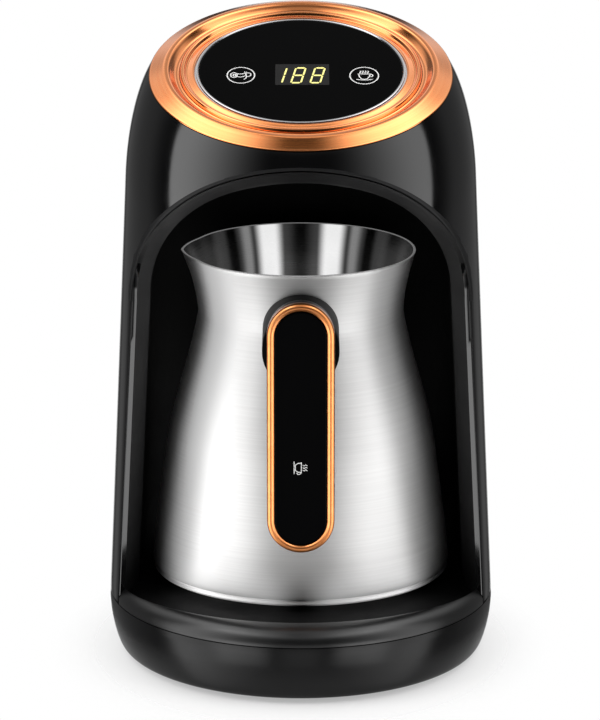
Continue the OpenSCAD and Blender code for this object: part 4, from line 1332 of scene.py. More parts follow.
@dataclass(frozen=True)
class Base:
    """Skirt and deck of the base."""

    form: Form = FORM
    arch: Arch = ARCH
    foot_gap: float = 1.8
    skirt_in: float = 5.0
    wall: float = 2.6
    web_top: float = 20.0
    web_t: float = 2.0
    deck_h: float = 29.0
    crest_w: float = 8.8
    crest_curve: float = 2.1
    rim_in: float = 0.1
    dish_h: float = 23.4
    dish_r: float = 63.48
    dish_round: float = 5.0
    plate_hole: float = 41.4
    gap: float = 0.3
    web_hole: float = 50.0
    gland_z: float = 11.0
    gland_r: float = 5.15
    gland_reach: Limits = (74.0, 93.0)

    def skirt(self) -> Shape:
        """The tapered skirt with its web.

        Returns:
            The shape.
        """
        f, tall, s, w = self.form, self.form.seam_h - self.foot_gap, self.skirt_in, self.wall
        outside = curve_through([
            (0.12, f.seam_h - 0.05), (0.02, f.seam_h - 0.06 * tall), (0, f.seam_h - 0.15 * tall),
            (s * 0.1, f.seam_h - 0.4 * tall), (s * 0.32, f.seam_h - 0.66 * tall),
            (s * 0.62, f.seam_h - 0.88 * tall), (s * 0.9, self.foot_gap + 0.45), (s + 1, self.foot_gap)], 5)
        profile = np.concatenate([
            [(1, f.foot), (1, f.seam_h), (0.45, f.seam_h)], outside,
            [(s + 5, self.foot_gap), (s + 5, self.foot_gap + 2), (s + 1.4, self.foot_gap + 2),
             (s * 0.62 + w, f.seam_h - 0.8 * tall), (s * 0.1 + w, f.seam_h - 0.4 * tall),
             (w, self.web_top - self.web_t), (w, f.foot)]])
        sides = 240
        plan = f.outline(profile[:, 0], sides)
        rows = np.concatenate([plan, np.repeat(profile[:, 1], sides).reshape(-1, sides, 1)], -1)
        shape = Shape().grid(rows, ring=True)
        rim = f.outline(np.array(w - 0.4), sides)
        a = np.arange(sides) * 2 * np.pi / sides
        hole = np.stack([self.web_hole * np.cos(a), self.arch.pot_y + self.web_hole * np.sin(a)], -1)
        levels = ((rim, self.web_top), (rim, self.web_top - self.web_t),
                  (hole, self.web_top - self.web_t), (hole, self.web_top))
        web = np.array([np.concatenate([loop, np.full((sides, 1), z)], -1) for loop, z in levels])
        return shape.grid(web, ring=True)

    def gland_cutter(self) -> bpy.types.Object:
        """The solid that opens the skirt for the cord gland."""
        loop = arc((0, self.gland_z), self.gland_r, 0, 360 - 7.5, 47)
        return prism(loop, self.gland_reach).object("gland_tool", BASE_BLACK)

    def _reach(self, turn: Array) -> Array:
        """How far the deck reaches from the pot's axis in each direction.

        Args:
            turn: Angle in radians, 0 to the right and -pi/2 to the front.

        Returns:
            The distances.
        """
        f = self.form
        pot_y = self.arch.pot_y
        jamb_out, jamb_in = (self.arch.side(w, f.seam_h) - self.gap for w in (0, self.arch.bezel_w))
        out_y = float(f.front_y(self.arch.side(0, f.seam_h), f.seam_h + 0.5)) - 1
        in_y = pot_y - math.sqrt(self.arch.room_r ** 2 - (jamb_in + self.gap) ** 2)
        c, s = np.abs(np.cos(turn)), np.sin(turn)
        alcove = np.where(s >= 0, jamb_in, jamb_in / np.maximum(c, 1e-6))
        # where the ray meets the jamb's slanting line from (jamb_in, in_y) to (jamb_out, out_y)
        ex, ey = jamb_out - jamb_in, out_y - in_y
        down = c * ey - s * ex
        meets = down < -0.5
        slant = np.where(meets, (jamb_in * ey - (in_y - pot_y) * ex) / np.where(meets, down, 1.0), 500.0)

        def inside(r: Array) -> Array:
            """Whether a place at distance r is still inside the base's outline."""
            x, y = r * c, pot_y + r * s - f.axis_y
            return (x / (f.half_w - self.rim_in)) ** 2 + (y / (f.front - self.rim_in)) ** 2 < 1

        rim = bisected(30.0, 130.0, turn.shape, inside)
        return np.where(pot_y + alcove * s >= in_y, alcove, np.minimum(slant, rim))

    def _lip(self, turn: Array) -> Array:
        """How far the dish's lip is from the pot's axis in each direction.

        Args:
            turn: Angle in radians, 0 to the right and -pi/2 to the front.

        Returns:
            The distances, to the farther of a circle round the pot and one round the base's axis.
        """
        off, r = self.arch.pot_y - self.form.axis_y, self.form.front - self.crest_w
        front = np.sqrt(r * r - (off * np.cos(turn)) ** 2) - off * np.sin(turn)
        return np.maximum(front, self.dish_r)

    def _height(self, x: Array, y: Array) -> Array:
        """Height of the deck's rounded crest at x, y.

        Args:
            x: Places across.
            y: Places in depth.

        Returns:
            The heights.
        """
        f = self.form

        def inside(inset: Array) -> Array:
            """Whether the place is inside the base's outline pulled in by inset."""
            return (x / (f.half_w - inset)) ** 2 + ((y - f.axis_y) / (f.front - inset)) ** 2 < 1

        depth = bisected(0.0, self.crest_w + self.rim_in, x.shape, inside)
        t = np.clip((depth - self.rim_in) / self.crest_w, 0, 1)
        return f.foot + (self.deck_h - f.foot) * (1 - (1 - t) ** self.crest_curve) ** (1 / self.crest_curve)

    def _in_dish(self, place: Vector, normal: Vector) -> bool:
        """True for the faces of the dish that look up.

        Args:
            place: Centre of a face.
            normal: Its normal.

        Returns:
            Whether it lies inside the lip.
        """
        x, y = place.x, place.y - self.arch.pot_y
        lip = float(self._lip(np.array(math.atan2(y, x))))
        return normal.z > 0.2 and math.hypot(x, y) < lip - 0.4

    def deck(self) -> Shape:
        """The deck: hole, dish, lip and the crest that rounds down to the seam.

        Returns:
            The shape.
        """
        sides = 480
        turn = -np.pi / 2 + np.arange(sides) * 2 * np.pi / sides
        far = self._reach(turn)
        c, s, pot_y = np.cos(turn), np.sin(turn), self.arch.pot_y
        bottom = self.web_top
        rows: list[Array] = []

        def row(r: Array | float, z: Array | float) -> None:
            """Adds one loop at distance r from the pot's axis and height z."""
            r = np.minimum(np.broadcast_to(r, turn.shape), far)
            rows.append(np.stack([r * c, pot_y + r * s, np.broadcast_to(z, turn.shape)], -1))

        row(self.plate_hole, bottom)
        row(self.plate_hole, self.dish_h - 0.3)
        row(self.plate_hole + 0.3, self.dish_h)
        for r in (46.0, 52.0):
            row(r, self.dish_h)
        lip = self._lip(turn)
        near = np.minimum(lip + 0.5, far)
        hidden = far < lip + 0.6
        top = np.where(hidden, self.dish_h, self._height(near * c, pot_y + near * s))
        for bend in np.radians(np.linspace(0, 84, 8)):
            rise = np.maximum(top - self.dish_h, 0.5) * (1 - math.cos(bend))
            row(lip - self.dish_round * (1 - math.sin(bend)), self.dish_h + rise)
        for out, drop in ((0.06, 0.22), (0.22, 0.05), (0.5, 0.0)):
            row(lip + out, np.where(hidden, rows[-1][:, 2], top - drop))
        for share in 1 - (1 - np.linspace(0, 1, 15)[1:]) ** 2.2:
            r = near + (far - near) * share
            z = self._height(r * c, pot_y + r * s)
            row(r, np.where(hidden, rows[-1][:, 2], z))
        row(np.where(hidden, far, far - self.wall), bottom)
        return Shape().grid(np.array(rows), ring=True)

    def build(self) -> None:
        """Builds and seats the pieces."""
        skirt = self.skirt().object("base_skirt", BASE_BLACK, 28)
        cut(skirt, [self.gland_cutter()], 28)
        seat(skirt, Body.MAKER, "black_shell", "base_pan")
        deck = self.deck().object("deck", DECK_BLACK, 30)
        dress(deck, DISH_BLACK, self._in_dish)
        seat(deck, Body.MAKER, "black_gloss", "base_deck")


# -------------------- the touch panel


@dataclass(frozen=True)
class TouchPanel:
    """Rings, lens, display and signs in the tilted top."""

    form: Form = FORM
    crest_r: float = 48.6
    crest_h: float = 3.2
    split_r: float = 43.5
    in_r: float = 38.1
    lens_r: float = 36.4
    lens_h: float = 2.0
    lens_t: float = 2.0
    seat_h: float = -2.5
    tray_r: float = 51.75
    flange_t: float = 1.2
    sides: int = 288

    @property
    def centre(self) -> Array:
        """The ring's centre."""
        return np.array([0.0, self.form.axis_y - self.form.ring_forward, self.form.ring_h])

    def lift(self, points: Array) -> Array:
        """Takes points from the ring's own frame into the part's.

        Args:
            points: Points with z along the ring's axis.

        Returns:
            The points in the part's frame.
        """
        x, y, z = np.moveaxis(np.asarray(points, float), -1, 0)
        tilt = math.radians(self.form.ring_lean)
        c, s = math.cos(tilt), math.sin(tilt)
        return np.stack([x, y * c - z * s, y * s + z * c], -1) + self.centre

    def turned(self, profile: Sequence[tuple[float, float]] | Array) -> Shape:
        """A closed profile turned about the ring's axis."""
        return Shape().grid(self.lift(revolved(profile, self.sides)), ring=True)

    def outer_ring(self) -> Shape:
        """The bevelled outer ring with its soft crest and channel.

        Returns:
            The shape.
        """
        r, s = self.form.ring_r, self.split_r
        edge_r, edge_h = self.crest_r + 0.75, self.crest_h - 0.27
        land = curve_through([
            (s + 0.05, 1.15), (s + 0.7, 0.98), (s + 1.6, 1.15), (s + 2.7, 2.0),
            (self.crest_r - 1.3, self.crest_h - 0.2), (self.crest_r - 0.3, self.crest_h - 0.06),
            (edge_r - 0.35, edge_h + 0.14)], 5)
        bevel = curve_through([
            (edge_r, edge_h), (edge_r + 2.2, edge_h - 1.05), (r - 0.9, 0.98), (r - 0.25, 0.68), (r, 0.42)], 5)
        roof, t = -0.6, self.flange_t
        rest = [(r - 0.12, 0.2), (r - 2, 0.05), (self.tray_r, 0.05), (self.tray_r, self.seat_h),
                (self.tray_r - t, self.seat_h), (self.tray_r - t, roof), (s + t, roof),
                (s + t, self.seat_h), (s, self.seat_h)]
        return self.turned(np.concatenate([land, bevel, rest]))

    def inner_ring(self) -> Shape:
        """The stepped inner ring.

        Returns:
            The shape.
        """
        near, out, h = self.in_r, self.split_r - 0.1, self.lens_h
        top = curve_through([
            (near, h), (near + 0.25, h + 0.1), (near + 0.8, h + 0.02), (out - 3.1, h - 0.5),
            (out - 2.5, h - 0.55), (out - 2.15, h - 0.3), (out - 1.8, h + 0.3), (out - 1.2, h + 0.54),
            (out - 0.6, h + 0.36), (out - 0.1, h - 0.5), (out, h - 0.9)], 4)
        return self.turned(np.concatenate([top, [(out, self.seat_h), (near, self.seat_h)]]))

    def silver_ring(self) -> Shape:
        """The thin silver ring round the lens.

        Returns:
            The shape.
        """
        a, b, h = self.lens_r + 0.05, self.in_r - 0.05, self.lens_h + 0.25
        return self.turned([(a, self.seat_h), (a, h - 0.3), (a + 0.12, h - 0.12), (a + 0.3, h), (b - 0.9, h),
                            (b - 0.65, h - 0.12), (b - 0.55, h - 0.7), (b, h - 0.8), (b, self.seat_h)])

    def lens(self) -> Shape:
        """The round lens with a fine edge.

        Returns:
            The shape.
        """
        r, h = self.lens_r - 0.05, self.lens_h
        profile = [(0.0, h - self.lens_t), (r, h - self.lens_t), (r, h - 0.25), (r - 0.08, h - 0.08),
                   (r - 0.3, h), (r - 0.6, h), (r * 0.5, h), (0.0, h)]
        return Shape().grid(self.lift(revolved(profile, self.sides)))

    def build(self) -> None:
        """Builds and seats the pieces."""
        body = Body.MAKER
        seat(self.outer_ring().object("copper_ring_outer", COPPER, 40), body, "copper_bright", "ring_outer")
        seat(self.inner_ring().object("copper_ring_inner", COPPER, 40), body, "copper_bright", "ring_inner")
        seat(self.silver_ring().object("silver_ring", SILVER, 30), body, "silver_trim", "lens_bezel")
        seat(self.lens().object("lens", LENS_BLACK, 30), body, "lens_black", "panel_lens")


@dataclass
class Strokes:
    """Flat signs drawn with lines of one width, or as filled patches, a hair proud of their ground."""

    width: float
    height: float
    shape: Shape = field(default_factory=Shape)

    def line(self, points: Sequence[tuple[float, float]], closed: bool = False) -> "Strokes":
        """Adds a line.

        Args:
            points: x, y along the line.
            closed: True for a loop.

        Returns:
            These strokes.
        """
        p = np.asarray(points, float)
        if closed:
            before, after = np.roll(p, 1, 0), np.roll(p, -1, 0)
        else:
            before, after = np.concatenate([p[:1], p[:-1]]), np.concatenate([p[1:], p[-1:]])
        along = after - before
        along /= np.linalg.norm(along, axis=1, keepdims=True)
        side = np.stack([-along[:, 1], along[:, 0]], -1) * self.width / 2
        if not closed:
            p = p.copy()
            p[0] -= along[0] * self.width / 3
            p[-1] += along[-1] * self.width / 3
        low, high = np.zeros((len(p), 1)), np.full((len(p), 1), self.height)
        loops = np.array([np.concatenate([q, z], -1) for q, z in
                          ((p + side, low), (p + side, high), (p - side, high), (p - side, low))])
        grid = loops.transpose(1, 0, 2)
        self.shape.grid(grid, ring=closed)
        if not closed:
            self.shape.cap(grid[0]).cap(grid[-1])
        return self

    def patch(self, corners: Sequence[tuple[float, float]]) -> "Strokes":
        """Adds a filled patch.

        Args:
            corners: Its outline.

        Returns:
            These strokes.
        """
        flat = np.asarray(corners, float)
        loops = np.array([np.concatenate([flat, np.full((len(flat), 1), z)], -1) for z in (0.0, self.height)])
        self.shape.grid(loops).cap(loops[0]).cap(loops[1])
        return self

    def placed(self, put: Callable[[Array], Array]) -> Shape:
        """The drawn shape, with every point put in its place.

        Args:
            put: Takes points of the drawing to points of the part.

        Returns:
            The shape.
        """
        self.shape.points = [put(p) for p in self.shape.points]
        return self.shape


@dataclass(frozen=True)
class PanelSigns:
    """Display window, digits and the two key signs on the lens."""

    panel: TouchPanel
    window_w: float = 19.2
    window_len: float = 14.8
    window_x: float = 0.5
    window_y: float = -3.1
    digit_w: float = 3.5
    digit_h: float = 10.6
    digits_aside: float = -1.35
    digits_down: float = 0.6
    slant: float = 0.17
    segment_w: float = 0.62
    segment_gap: float = 0.16
    digits: str = "188"
    pitch: float = 6.85
    key_x: float = 21.9
    key_y: float = -3.6
    key_w: float = 4.9
    key_len: float = 5.65
    line_w: float = 0.42
    proud: float = 0.02

    def _on_lens(self, x0: float, y0: float, base: float) -> Callable[[Array], Array]:
        """Puts a drawing on the lens with its origin at x0, y0, its ground base over the face."""
        shift = np.array([x0, y0, self.panel.lens_h + base])
        return lambda p: self.panel.lift(p + shift)

    def window(self) -> Shape:
        """The grey window of the display.

        Returns:
            The shape.
        """
        w, h, r = self.window_w / 2, self.window_len / 2, 0.3
        quarters = ((1, 1, 0), (-1, 1, 90), (-1, -1, 180), (1, -1, 270))
        corners = [point for sx, sy, a in quarters
                   for point in arc((sx * (w - r), sy * (h - r)), r, a, a + 90, 3)]
        ground = self._on_lens(self.window_x, self.window_y, 0.0)
        return Strokes(self.line_w, self.proud).patch(corners).placed(ground)

    def _segments(self, digit: str) -> list[list[tuple[float, float]]]:
        """Outlines of a digit's lit segments.

        Args:
            digit: The digit.

        Returns:
            Six-cornered patches.
        """
        w, h, t, gap = self.digit_w / 2, self.digit_h / 2, self.segment_w, self.segment_gap
        ends = {"a": ((-w, h), (w, h)), "b": ((w, h), (w, 0)), "c": ((w, 0), (w, -h)),
                "d": ((-w, -h), (w, -h)), "e": ((-w, 0), (-w, -h)), "f": ((-w, h), (-w, 0)),
                "g": ((-w, 0), (w, 0))}
        lit = {"1": "bc", "8": "abcdefg"}[digit]
        made = []
        for name in lit:
            (x0, y0), (x1, y1) = ends[name]
            length = math.hypot(x1 - x0, y1 - y0)
            ux, uy = (x1 - x0) / length, (y1 - y0) / length
            thick = t / 2 * (1.5 if name in "adg" else 1.0)
            near, far = gap + thick, length - gap - thick
            tips = ((gap, 0), (near, thick), (far, thick), (length - gap, 0), (far, -thick), (near, -thick))
            patch = [(x0 + u * ux - v * uy, y0 + u * uy + v * ux) for u, v in tips]
            made.append([(x + y * self.slant, y) for x, y in patch])
        return made

    def number(self) -> Shape:
        """The lit number.

        Returns:
            The shape.
        """
        made = Strokes(self.line_w, self.proud)
        for k, digit in enumerate(self.digits):
            shift = (k - 1) * self.pitch + (0.1 if digit == "1" else 0.0)
            for patch in self._segments(digit):
                made.patch([(x + shift, y) for x, y in patch])
        x0, y0 = self.window_x + self.digits_aside, self.window_y - self.digits_down
        return made.placed(self._on_lens(x0, y0, self.proud))

    @staticmethod
    def _oval(w: float, h: float, x: float = 0.0, y: float = 0.0,
              steps: int = 56) -> list[tuple[float, float]]:
        """An oval's outline about x, y.

        Args:
            w: Half width.
            h: Half height.
            x: Its middle across.
            y: Its middle upward.
            steps: Number of points.

        Returns:
            The points.
        """
        turns = [2 * math.pi * k / steps for k in range(steps)]
        return [(x + w * math.cos(a), y + h * math.sin(a)) for a in turns]

    def coffee_key(self) -> Shape:
        """Sign of the left key: an oval round a cup seen from above and a long-handled pot.

        Returns:
            The shape.
        """
        s = Strokes(self.line_w, self.proud)
        s.line(self._oval(self.key_w, self.key_len), True)
        s.line(self._oval(1.15, 1.75, -2.5, 0.1, 24), True)
        s.line(self._oval(0.45, 0.75, -2.3, 0.0, 16), True)
        s.line([(-1.5, 1.2), (-0.6, 0.85), (0.5, 0.95), (1.4, 1.5), (2.0, 2.2)])
        s.line([(-1.4, -1.0), (-0.4, -1.3), (0.6, -1.1), (1.3, -0.5)])
        s.line([(1.3, 2.4), (1.7, 1.3), (2.6, 1.7), (3.5, 1.2), (3.5, -0.2), (2.6, -1.0), (1.9, -0.6),
                (1.7, 1.2)])
        s.line([(2.1, -0.9), (1.8, -2.0), (1.2, -2.9)])
        return s.placed(self._on_lens(-self.key_x + 0.55, self.key_y, 0.0))

    def milk_key(self) -> Shape:
        """Sign of the right key: an oval round a cup with foam on a saucer.

        Returns:
            The shape.
        """
        s = Strokes(self.line_w, self.proud)
        s.line(self._oval(self.key_w + 0.2, self.key_len + 0.35), True)
        s.line([(-2.0, 1.1), (-1.7, -0.8), (-1.1, -2.2), (0.0, -2.7), (1.1, -2.2), (1.8, -0.8), (2.2, 1.1)])
        s.line([(-2.2, 1.2), (2.4, 1.2)])
        s.line(arc((2.2, 0.1), 0.9, 70, -80, 8))
        s.line([(-2.7, -2.7), (-1.2, -3.1), (1.2, -3.1), (2.8, -2.7)])
        for x in (-1.3, -0.4, 0.5, 1.4):
            s.line([(x - 0.3, 1.9), (x + 0.1, 2.6), (x, 3.3)])
        return s.placed(self._on_lens(self.key_x + 0.7, self.key_y - 0.3, 0.0))

    def build(self) -> None:
        """Builds and seats the pieces."""
        body = Body.MAKER
        seat(self.window().object("display_window", DISPLAY_GREY), body, "display_grey")
        seat(self.number().object("display_number", DIGIT_GLOW), body, "display_grey")
        seat(self.coffee_key().object("key_sign_coffee", SIGN_WHITE), body, "lens_black")
        seat(self.milk_key().object("key_sign_foam", SIGN_WHITE), body, "lens_black")


# -------------------- the pot


@dataclass(frozen=True)
class Pot:
    """The steel pot and its base disc."""

    axis_y: float = ARCH.pot_y
    plate_h: float = 25.6
    disc_t: float = 2.0
    disc_gap: float = 0.35
    r: float = 54.78
    neck_r: float = 37.6
    rim_r: float = 42.2
    neck_h: float = 122.5
    rim_h: float = 145.5
    wall: float = 1.0
    rim_round: float = 0.5
    edge: float = 0.6
    edge_h: float = 2.25
    floor_in: float = 3.2
    disc_in: float = 0.5
    hollow_r: float = 9.5
    hollow_h: float = 1.3
    waist: float = 0.25
    taper_bend: float = 1.15
    flare_bend: float = 1.7
    spout_out: float = 1.8
    spout_half: float = 24.0
    dent: float = 0.25
    dent_at: float = 26.0
    dent_half: float = 9.0
    sides: int = 288

    @property
    def foot(self) -> float:
        """Height of the body over the disc."""
        return self.plate_h + self.disc_t

    def radius(self, z: Array) -> Array:
        """Outer radius at height z, without the spout.

        Args:
            z: Height.

        Returns:
            The radius.
        """
        t = np.clip((z - self.foot) / (self.neck_h - self.foot), 0, 1)
        share = (1 - self.waist) * t ** self.taper_bend + self.waist * Form.ease((t - 0.5) / 0.5)
        belly = self.r - (self.r - self.neck_r) * share
        u = np.clip((z - self.neck_h) / (self.rim_h - self.neck_h), 0, 1)
        flare = self.neck_r + (self.rim_r - self.neck_r) * u ** self.flare_bend
        edge = np.clip((z - self.foot - self.disc_gap) / self.edge_h, 0, 1)
        low = self.edge * (1 - np.sqrt(1 - (1 - edge) ** 2))
        return np.where(z > self.neck_h, flare, belly) - low

    def spout(self, a: Array, z: Array) -> Array:
        """How far the spout stands out, with a dent on both sides of it.

        Args:
            a: Angle round the pot in degrees.
            z: Height.

        Returns:
            The distance.
        """
        off = np.abs(np.mod(a, 360) - 180)
        up = np.clip((z - self.neck_h) / (self.rim_h - self.neck_h), 0, None)
        tip = np.maximum(1 - off / self.spout_half, 0) ** 1.3
        tip = tip - self.dent * np.exp(-((off - self.dent_at) / self.dent_half) ** 2)
        return self.spout_out * up ** 1.5 * tip

    def _loop(self, radius: float, z: float) -> Array:
        """One loop round the pot with its spout.

        Args:
            radius: Radius away from the spout.
            z: Height.

        Returns:
            The points.
        """
        a = np.arange(self.sides) * 360 / self.sides
        height, turn = np.full(self.sides, z), np.radians(a)
        q = radius + self.spout(a, height)
        return np.stack([q * np.cos(turn), self.axis_y + q * np.sin(turn), height], -1)

    def vessel(self) -> Shape:
        """Outside, rounded rim, inside and bottom.

        Returns:
            The shape.
        """
        low, brim = self.foot + self.disc_gap, self.rim_h - self.rim_round
        edge = low + self.edge_h * (1 - np.cos(np.radians(np.linspace(0, 90, 7))))
        belly = np.linspace(low + self.edge_h + 0.05, self.neck_h, 44)[1:]
        heights = np.concatenate([edge, belly, np.linspace(self.neck_h, brim, 16)[1:]])
        radii = self.radius(heights)
        ways = list(zip(radii, heights))
        top_r = float(self.radius(np.array(brim))) - self.wall / 2
        for bend in np.radians([30, 60, 90, 120, 150, 180]):
            ways.append((top_r + self.wall / 2 * math.cos(bend), brim + self.rim_round * math.sin(bend)))
        floor = low + self.wall
        ways += [(r - self.wall, z) for r, z in zip(radii[::-1], heights[::-1]) if z > floor + 2.5]
        flat_r = self.r - self.floor_in
        for bend in np.radians([0, 30, 60, 90]):
            ways.append((flat_r - self.wall + 2.6 * math.cos(bend), floor + 2.4 * (1 - math.sin(bend))))
        ways += [(r, floor) for r in (40.0, 20.0, 0.0)]
        under = ((float(radii[0]), low), (flat_r, low), (flat_r, self.foot), (20.0, self.foot),
                 (0.0, self.foot))
        shape = Shape().grid(np.array([self._loop(r, z) for r, z in ways]))
        return shape.grid(np.array([self._loop(r, z) for r, z in under]))

    def disc(self) -> Shape:
        """The base disc with its rounded edge and the hollow over the sensor.

        Returns:
            The shape.
        """
        r, low, high = self.r - self.disc_in, self.plate_h, self.foot
        hollow_r, hollow_z = self.hollow_r, low + self.hollow_h
        profile = [(0, hollow_z), (hollow_r, hollow_z), (hollow_r, low + 0.15), (hollow_r + 0.15, low),
                   (r - 1.4, low), (r - 0.8, low + 0.1), (r - 0.35, low + 0.35), (r - 0.08, low + 0.6),
                   (r, low + 0.85), (r - 0.1, low + 1.15), (r - 0.35, high - 0.25), (r - 0.45, high - 0.1),
                   (r - 0.6, high), (0, high)]
        return Shape().grid(revolved(profile, self.sides, self.axis_y))

    def _inside(self, place: Vector, normal: Vector) -> bool:
        """True for the faces of the pot's inside, under its rim.

        Args:
            place: Centre of a face.
            normal: Its normal.

        Returns:
            Whether it looks to the axis or up.
        """
        out = normal.x * place.x + normal.y * (place.y - self.axis_y)
        low, high = self.foot + self.disc_gap + 0.5, self.rim_h - 0.3
        return low < place.z < high and (out < 0 or normal.z > 0.8)

    def build(self) -> None:
        """Builds and seats the pieces."""
        # outside and disc carry painted shade and painted sheen, the inside painted reflections, the rim a
        # painted glow
        vessel = self.vessel().object("pot", POT_STEEL_PAINTED_SHEEN, 40)
        dress(vessel, POT_INSIDE_PAINTED_REFLECTIONS, self._inside)
        dress(vessel, POT_RIM_PAINTED_GLOW, lambda place, _: place.z > self.rim_h - 0.35)
        seat(vessel, Body.POT, "steel_brushed", "pot_vessel")
        seat(self.disc().object("pot_disc", POT_STEEL_PAINTED_SHEEN, 35), Body.POT, "steel_brushed", "pot_base_disc")


@dataclass(frozen=True)
class Handle:
    """Collar, grip, copper band and inlay of the handle."""

    pot: Pot
    face_y: float = -73.98
    w: float = 24.0
    top: float = 144.0
    length: float = 91.0
    t: float = 11.0
    band_w: float = 2.8
    band_t: float = 4.0
    collar_w: float = 27.4
    collar_top: float = 138.5
    collar_len: float = 28.5
    bracket_t: float = 1.4
    crown: float = 0.35
    inlay_in: float = 0.8
    inlay_t: float = 1.8
    sign_z: float = 84.5
    end_steps: int = 28
    side_steps: int = 14

    @property
    def back_y(self) -> float:
        """y of the grip's back."""
        return self.face_y + self.t

    @property
    def inlay_y(self) -> float:
        """y of the inlay's face at its edge."""
        return self.face_y + self.inlay_in

    def capsule(self, w: float, top: float, length: float, inset: float) -> Array:
        """x, z points of an upright capsule's outline.

        Args:
            w: Width.
            top: Height of its top.
            length: Length.
            inset: How far it is pulled in.

        Returns:
            The points.
        """
        r = w / 2 - inset
        high, low = top - w / 2, top - length + w / 2
        a = np.linspace(0, np.pi, self.end_steps + 1)
        upper = np.stack([r * np.cos(a), high + r * np.sin(a)], -1)
        lower = np.stack([r * np.cos(a + np.pi), low + r * np.sin(a + np.pi)], -1)
        down = np.linspace(high, low, self.side_steps + 1)[1:-1]
        left = np.stack([np.full(len(down), -r), down], -1)
        right = np.stack([np.full(len(down), r), down[::-1]], -1)
        return np.concatenate([upper, left, lower, right])

    def rows(self, w: float, top: float, length: float, profile: Sequence[tuple[float, float]]) -> Array:
        """Rows of capsule outlines.

        Args:
            w: Width.
            top: Height of the top.
            length: Length.
            profile: Inset and y of each row.

        Returns:
            The rows.
        """
        made = []
        for inset, y in profile:
            loop = self.capsule(w, top, length, inset)
            made.append(np.stack([loop[:, 0], np.full(len(loop), y), loop[:, 1]], -1))
        return np.array(made)

    def band(self) -> Shape:
        """The copper band: a round front edge and a fine inner lip.

        Returns:
            The shape.
        """
        y, half, back = self.face_y, self.band_w / 2, self.face_y + self.band_t
        crown = [(half - half * math.cos(a), y + half - half * math.sin(a))
                 for a in np.radians(np.arange(0, 169, 12))]
        profile = [(0.15, back), (0, back - 0.2), (0, y + half + 0.3), *crown,
                   (self.band_w, y + half), (self.band_w, back)]
        return Shape().grid(self.rows(self.w, self.top, self.length, profile), ring=True)

    def _crowned(self, x: Array) -> Array:
        """How far the inlay's face stands forward at x."""
        half = self.w / 2 - self.band_w
        return self.crown * np.clip(1 - (x / half) ** 2, 0, 1)

    def inlay(self) -> Shape:
        """The glossy inlay, a little crowned.

        Returns:
            The shape.
        """
        gap = self.band_w + 0.15
        y, w, top, length = self.inlay_y, self.w - 2 * gap, self.top - gap, self.length - 2 * gap
        profile = [(0, y + self.inlay_t), (0, y + 0.25), (0.1, y + 0.08), (0.3, y)]
        profile += [(w / 2 * k / 12, y) for k in range(1, 12)]
        grid = self.rows(w, top, length, profile)
        grid[2:, :, 1] -= self._crowned(grid[2:, :, 0])
        middle = grid[-1].copy()
        middle[:, 0] = 0
        middle[:, 1] = y - self._crowned(middle[:, 0])
        shape = Shape().grid(np.concatenate([grid, middle[None]]))
        return shape.cap(grid[0])

    def grip(self) -> Shape:
        """The grip's back with a soft edge.

        Returns:
            The shape.
        """
        w, top, length = self.w - 0.6, self.top - 0.3, self.length - 0.6
        front, back = self.face_y + self.band_t, self.back_y
        profile = [(2.7, front - 1.4), (2.7, front), (0.2, front), (0, front + 0.2), (0, back - 3.4),
                   (0.12, back - 2.5), (0.5, back - 1.4), (1.1, back - 0.6), (1.9, back - 0.14), (2.7, back)]
        grid = self.rows(w, top, length, profile)
        return Shape().grid(grid).cap(grid[0]).cap(grid[-1])

    def _neck_y(self, loop: Array) -> Array:
        """y of the neck's round with the bracket on it, at a loop's points."""
        reach = self.pot.radius(loop[:, 2]) + self.bracket_t + 0.1
        return self.pot.axis_y - np.sqrt(reach ** 2 - loop[:, 0] ** 2)

    def collar(self) -> Shape:
        """The collar from the grip to the neck, cut to the neck's round.

        Returns:
            The shape.
        """
        profile = [(0.6, self.back_y), (0.15, self.back_y + 0.15), (0, self.back_y + 0.6)]
        grid = self.rows(self.collar_w, self.collar_top, self.collar_len, profile)
        edge = grid[-1]
        end = self._neck_y(edge)
        ways = []
        for share in (0.25, 0.5, 0.75, 1.0):
            loop = edge.copy()
            loop[:, 1] = edge[:, 1] + (end - edge[:, 1]) * share
            ways.append(loop)
        grid = np.concatenate([grid, np.array(ways)])
        # the saddle: the end loop drawn in to a line on the neck's round
        saddle = [ways[-1]]
        for share in (0.66, 0.33, 0.0):
            loop = ways[-1].copy()
            loop[:, 0] *= share
            loop[:, 1] = self._neck_y(loop)
            saddle.append(loop)
        return Shape().grid(grid).cap(grid[0]).grid(np.array(saddle))

    def sign(self) -> Shape:
        """A small steaming cup, lying along the handle.

        Returns:
            The shape.
        """
        s = Strokes(0.3, 0.025)
        s.line([(-1.7, 0.6), (-1.6, -0.6), (-1.0, -1.5), (1.0, -1.5), (1.6, -0.6), (1.7, 0.6)])
        s.line([(-1.9, 0.6), (1.9, 0.6)])
        s.line(arc((1.75, -0.3), 0.7, 75, -75, 7))
        s.line([(-2.2, -1.95), (2.2, -1.95)])
        for x in (-0.9, 0.0, 0.9):
            s.line([(x, 1.2), (x + 0.25, 1.6), (x - 0.2, 2.1), (x + 0.1, 2.6)])

        def put(p: Array) -> Array:
            """Turns the drawing so that its up is the part's +X, and lays it on the inlay."""
            x, z = p[:, 1] - 0.4, self.sign_z - p[:, 0]
            return np.stack([x, self.inlay_y - self._crowned(x) - p[:, 2], z], -1)

        return s.placed(put)

    def build(self) -> None:
        """Builds and seats the pieces."""
        body = Body.POT
        seat(self.collar().object("collar", COLLAR_BLACK), body, "black_satin", "handle_collar")
        seat(self.grip().object("grip", GRIP_BLACK), body, "black_satin", "handle_grip")
        seat(self.band().object("copper_band", COPPER_BAND, 40), body, "copper_bright", "handle_band")
        seat(self.inlay().object("inlay", INLAY_BLACK), body, "lens_black", "handle_inlay")
        seat(self.sign().object("handle_sign", SIGN_WHITE), body, "lens_black")


TOP = TouchPanel()
POT = Pot()


# -------------------- what stays as packed


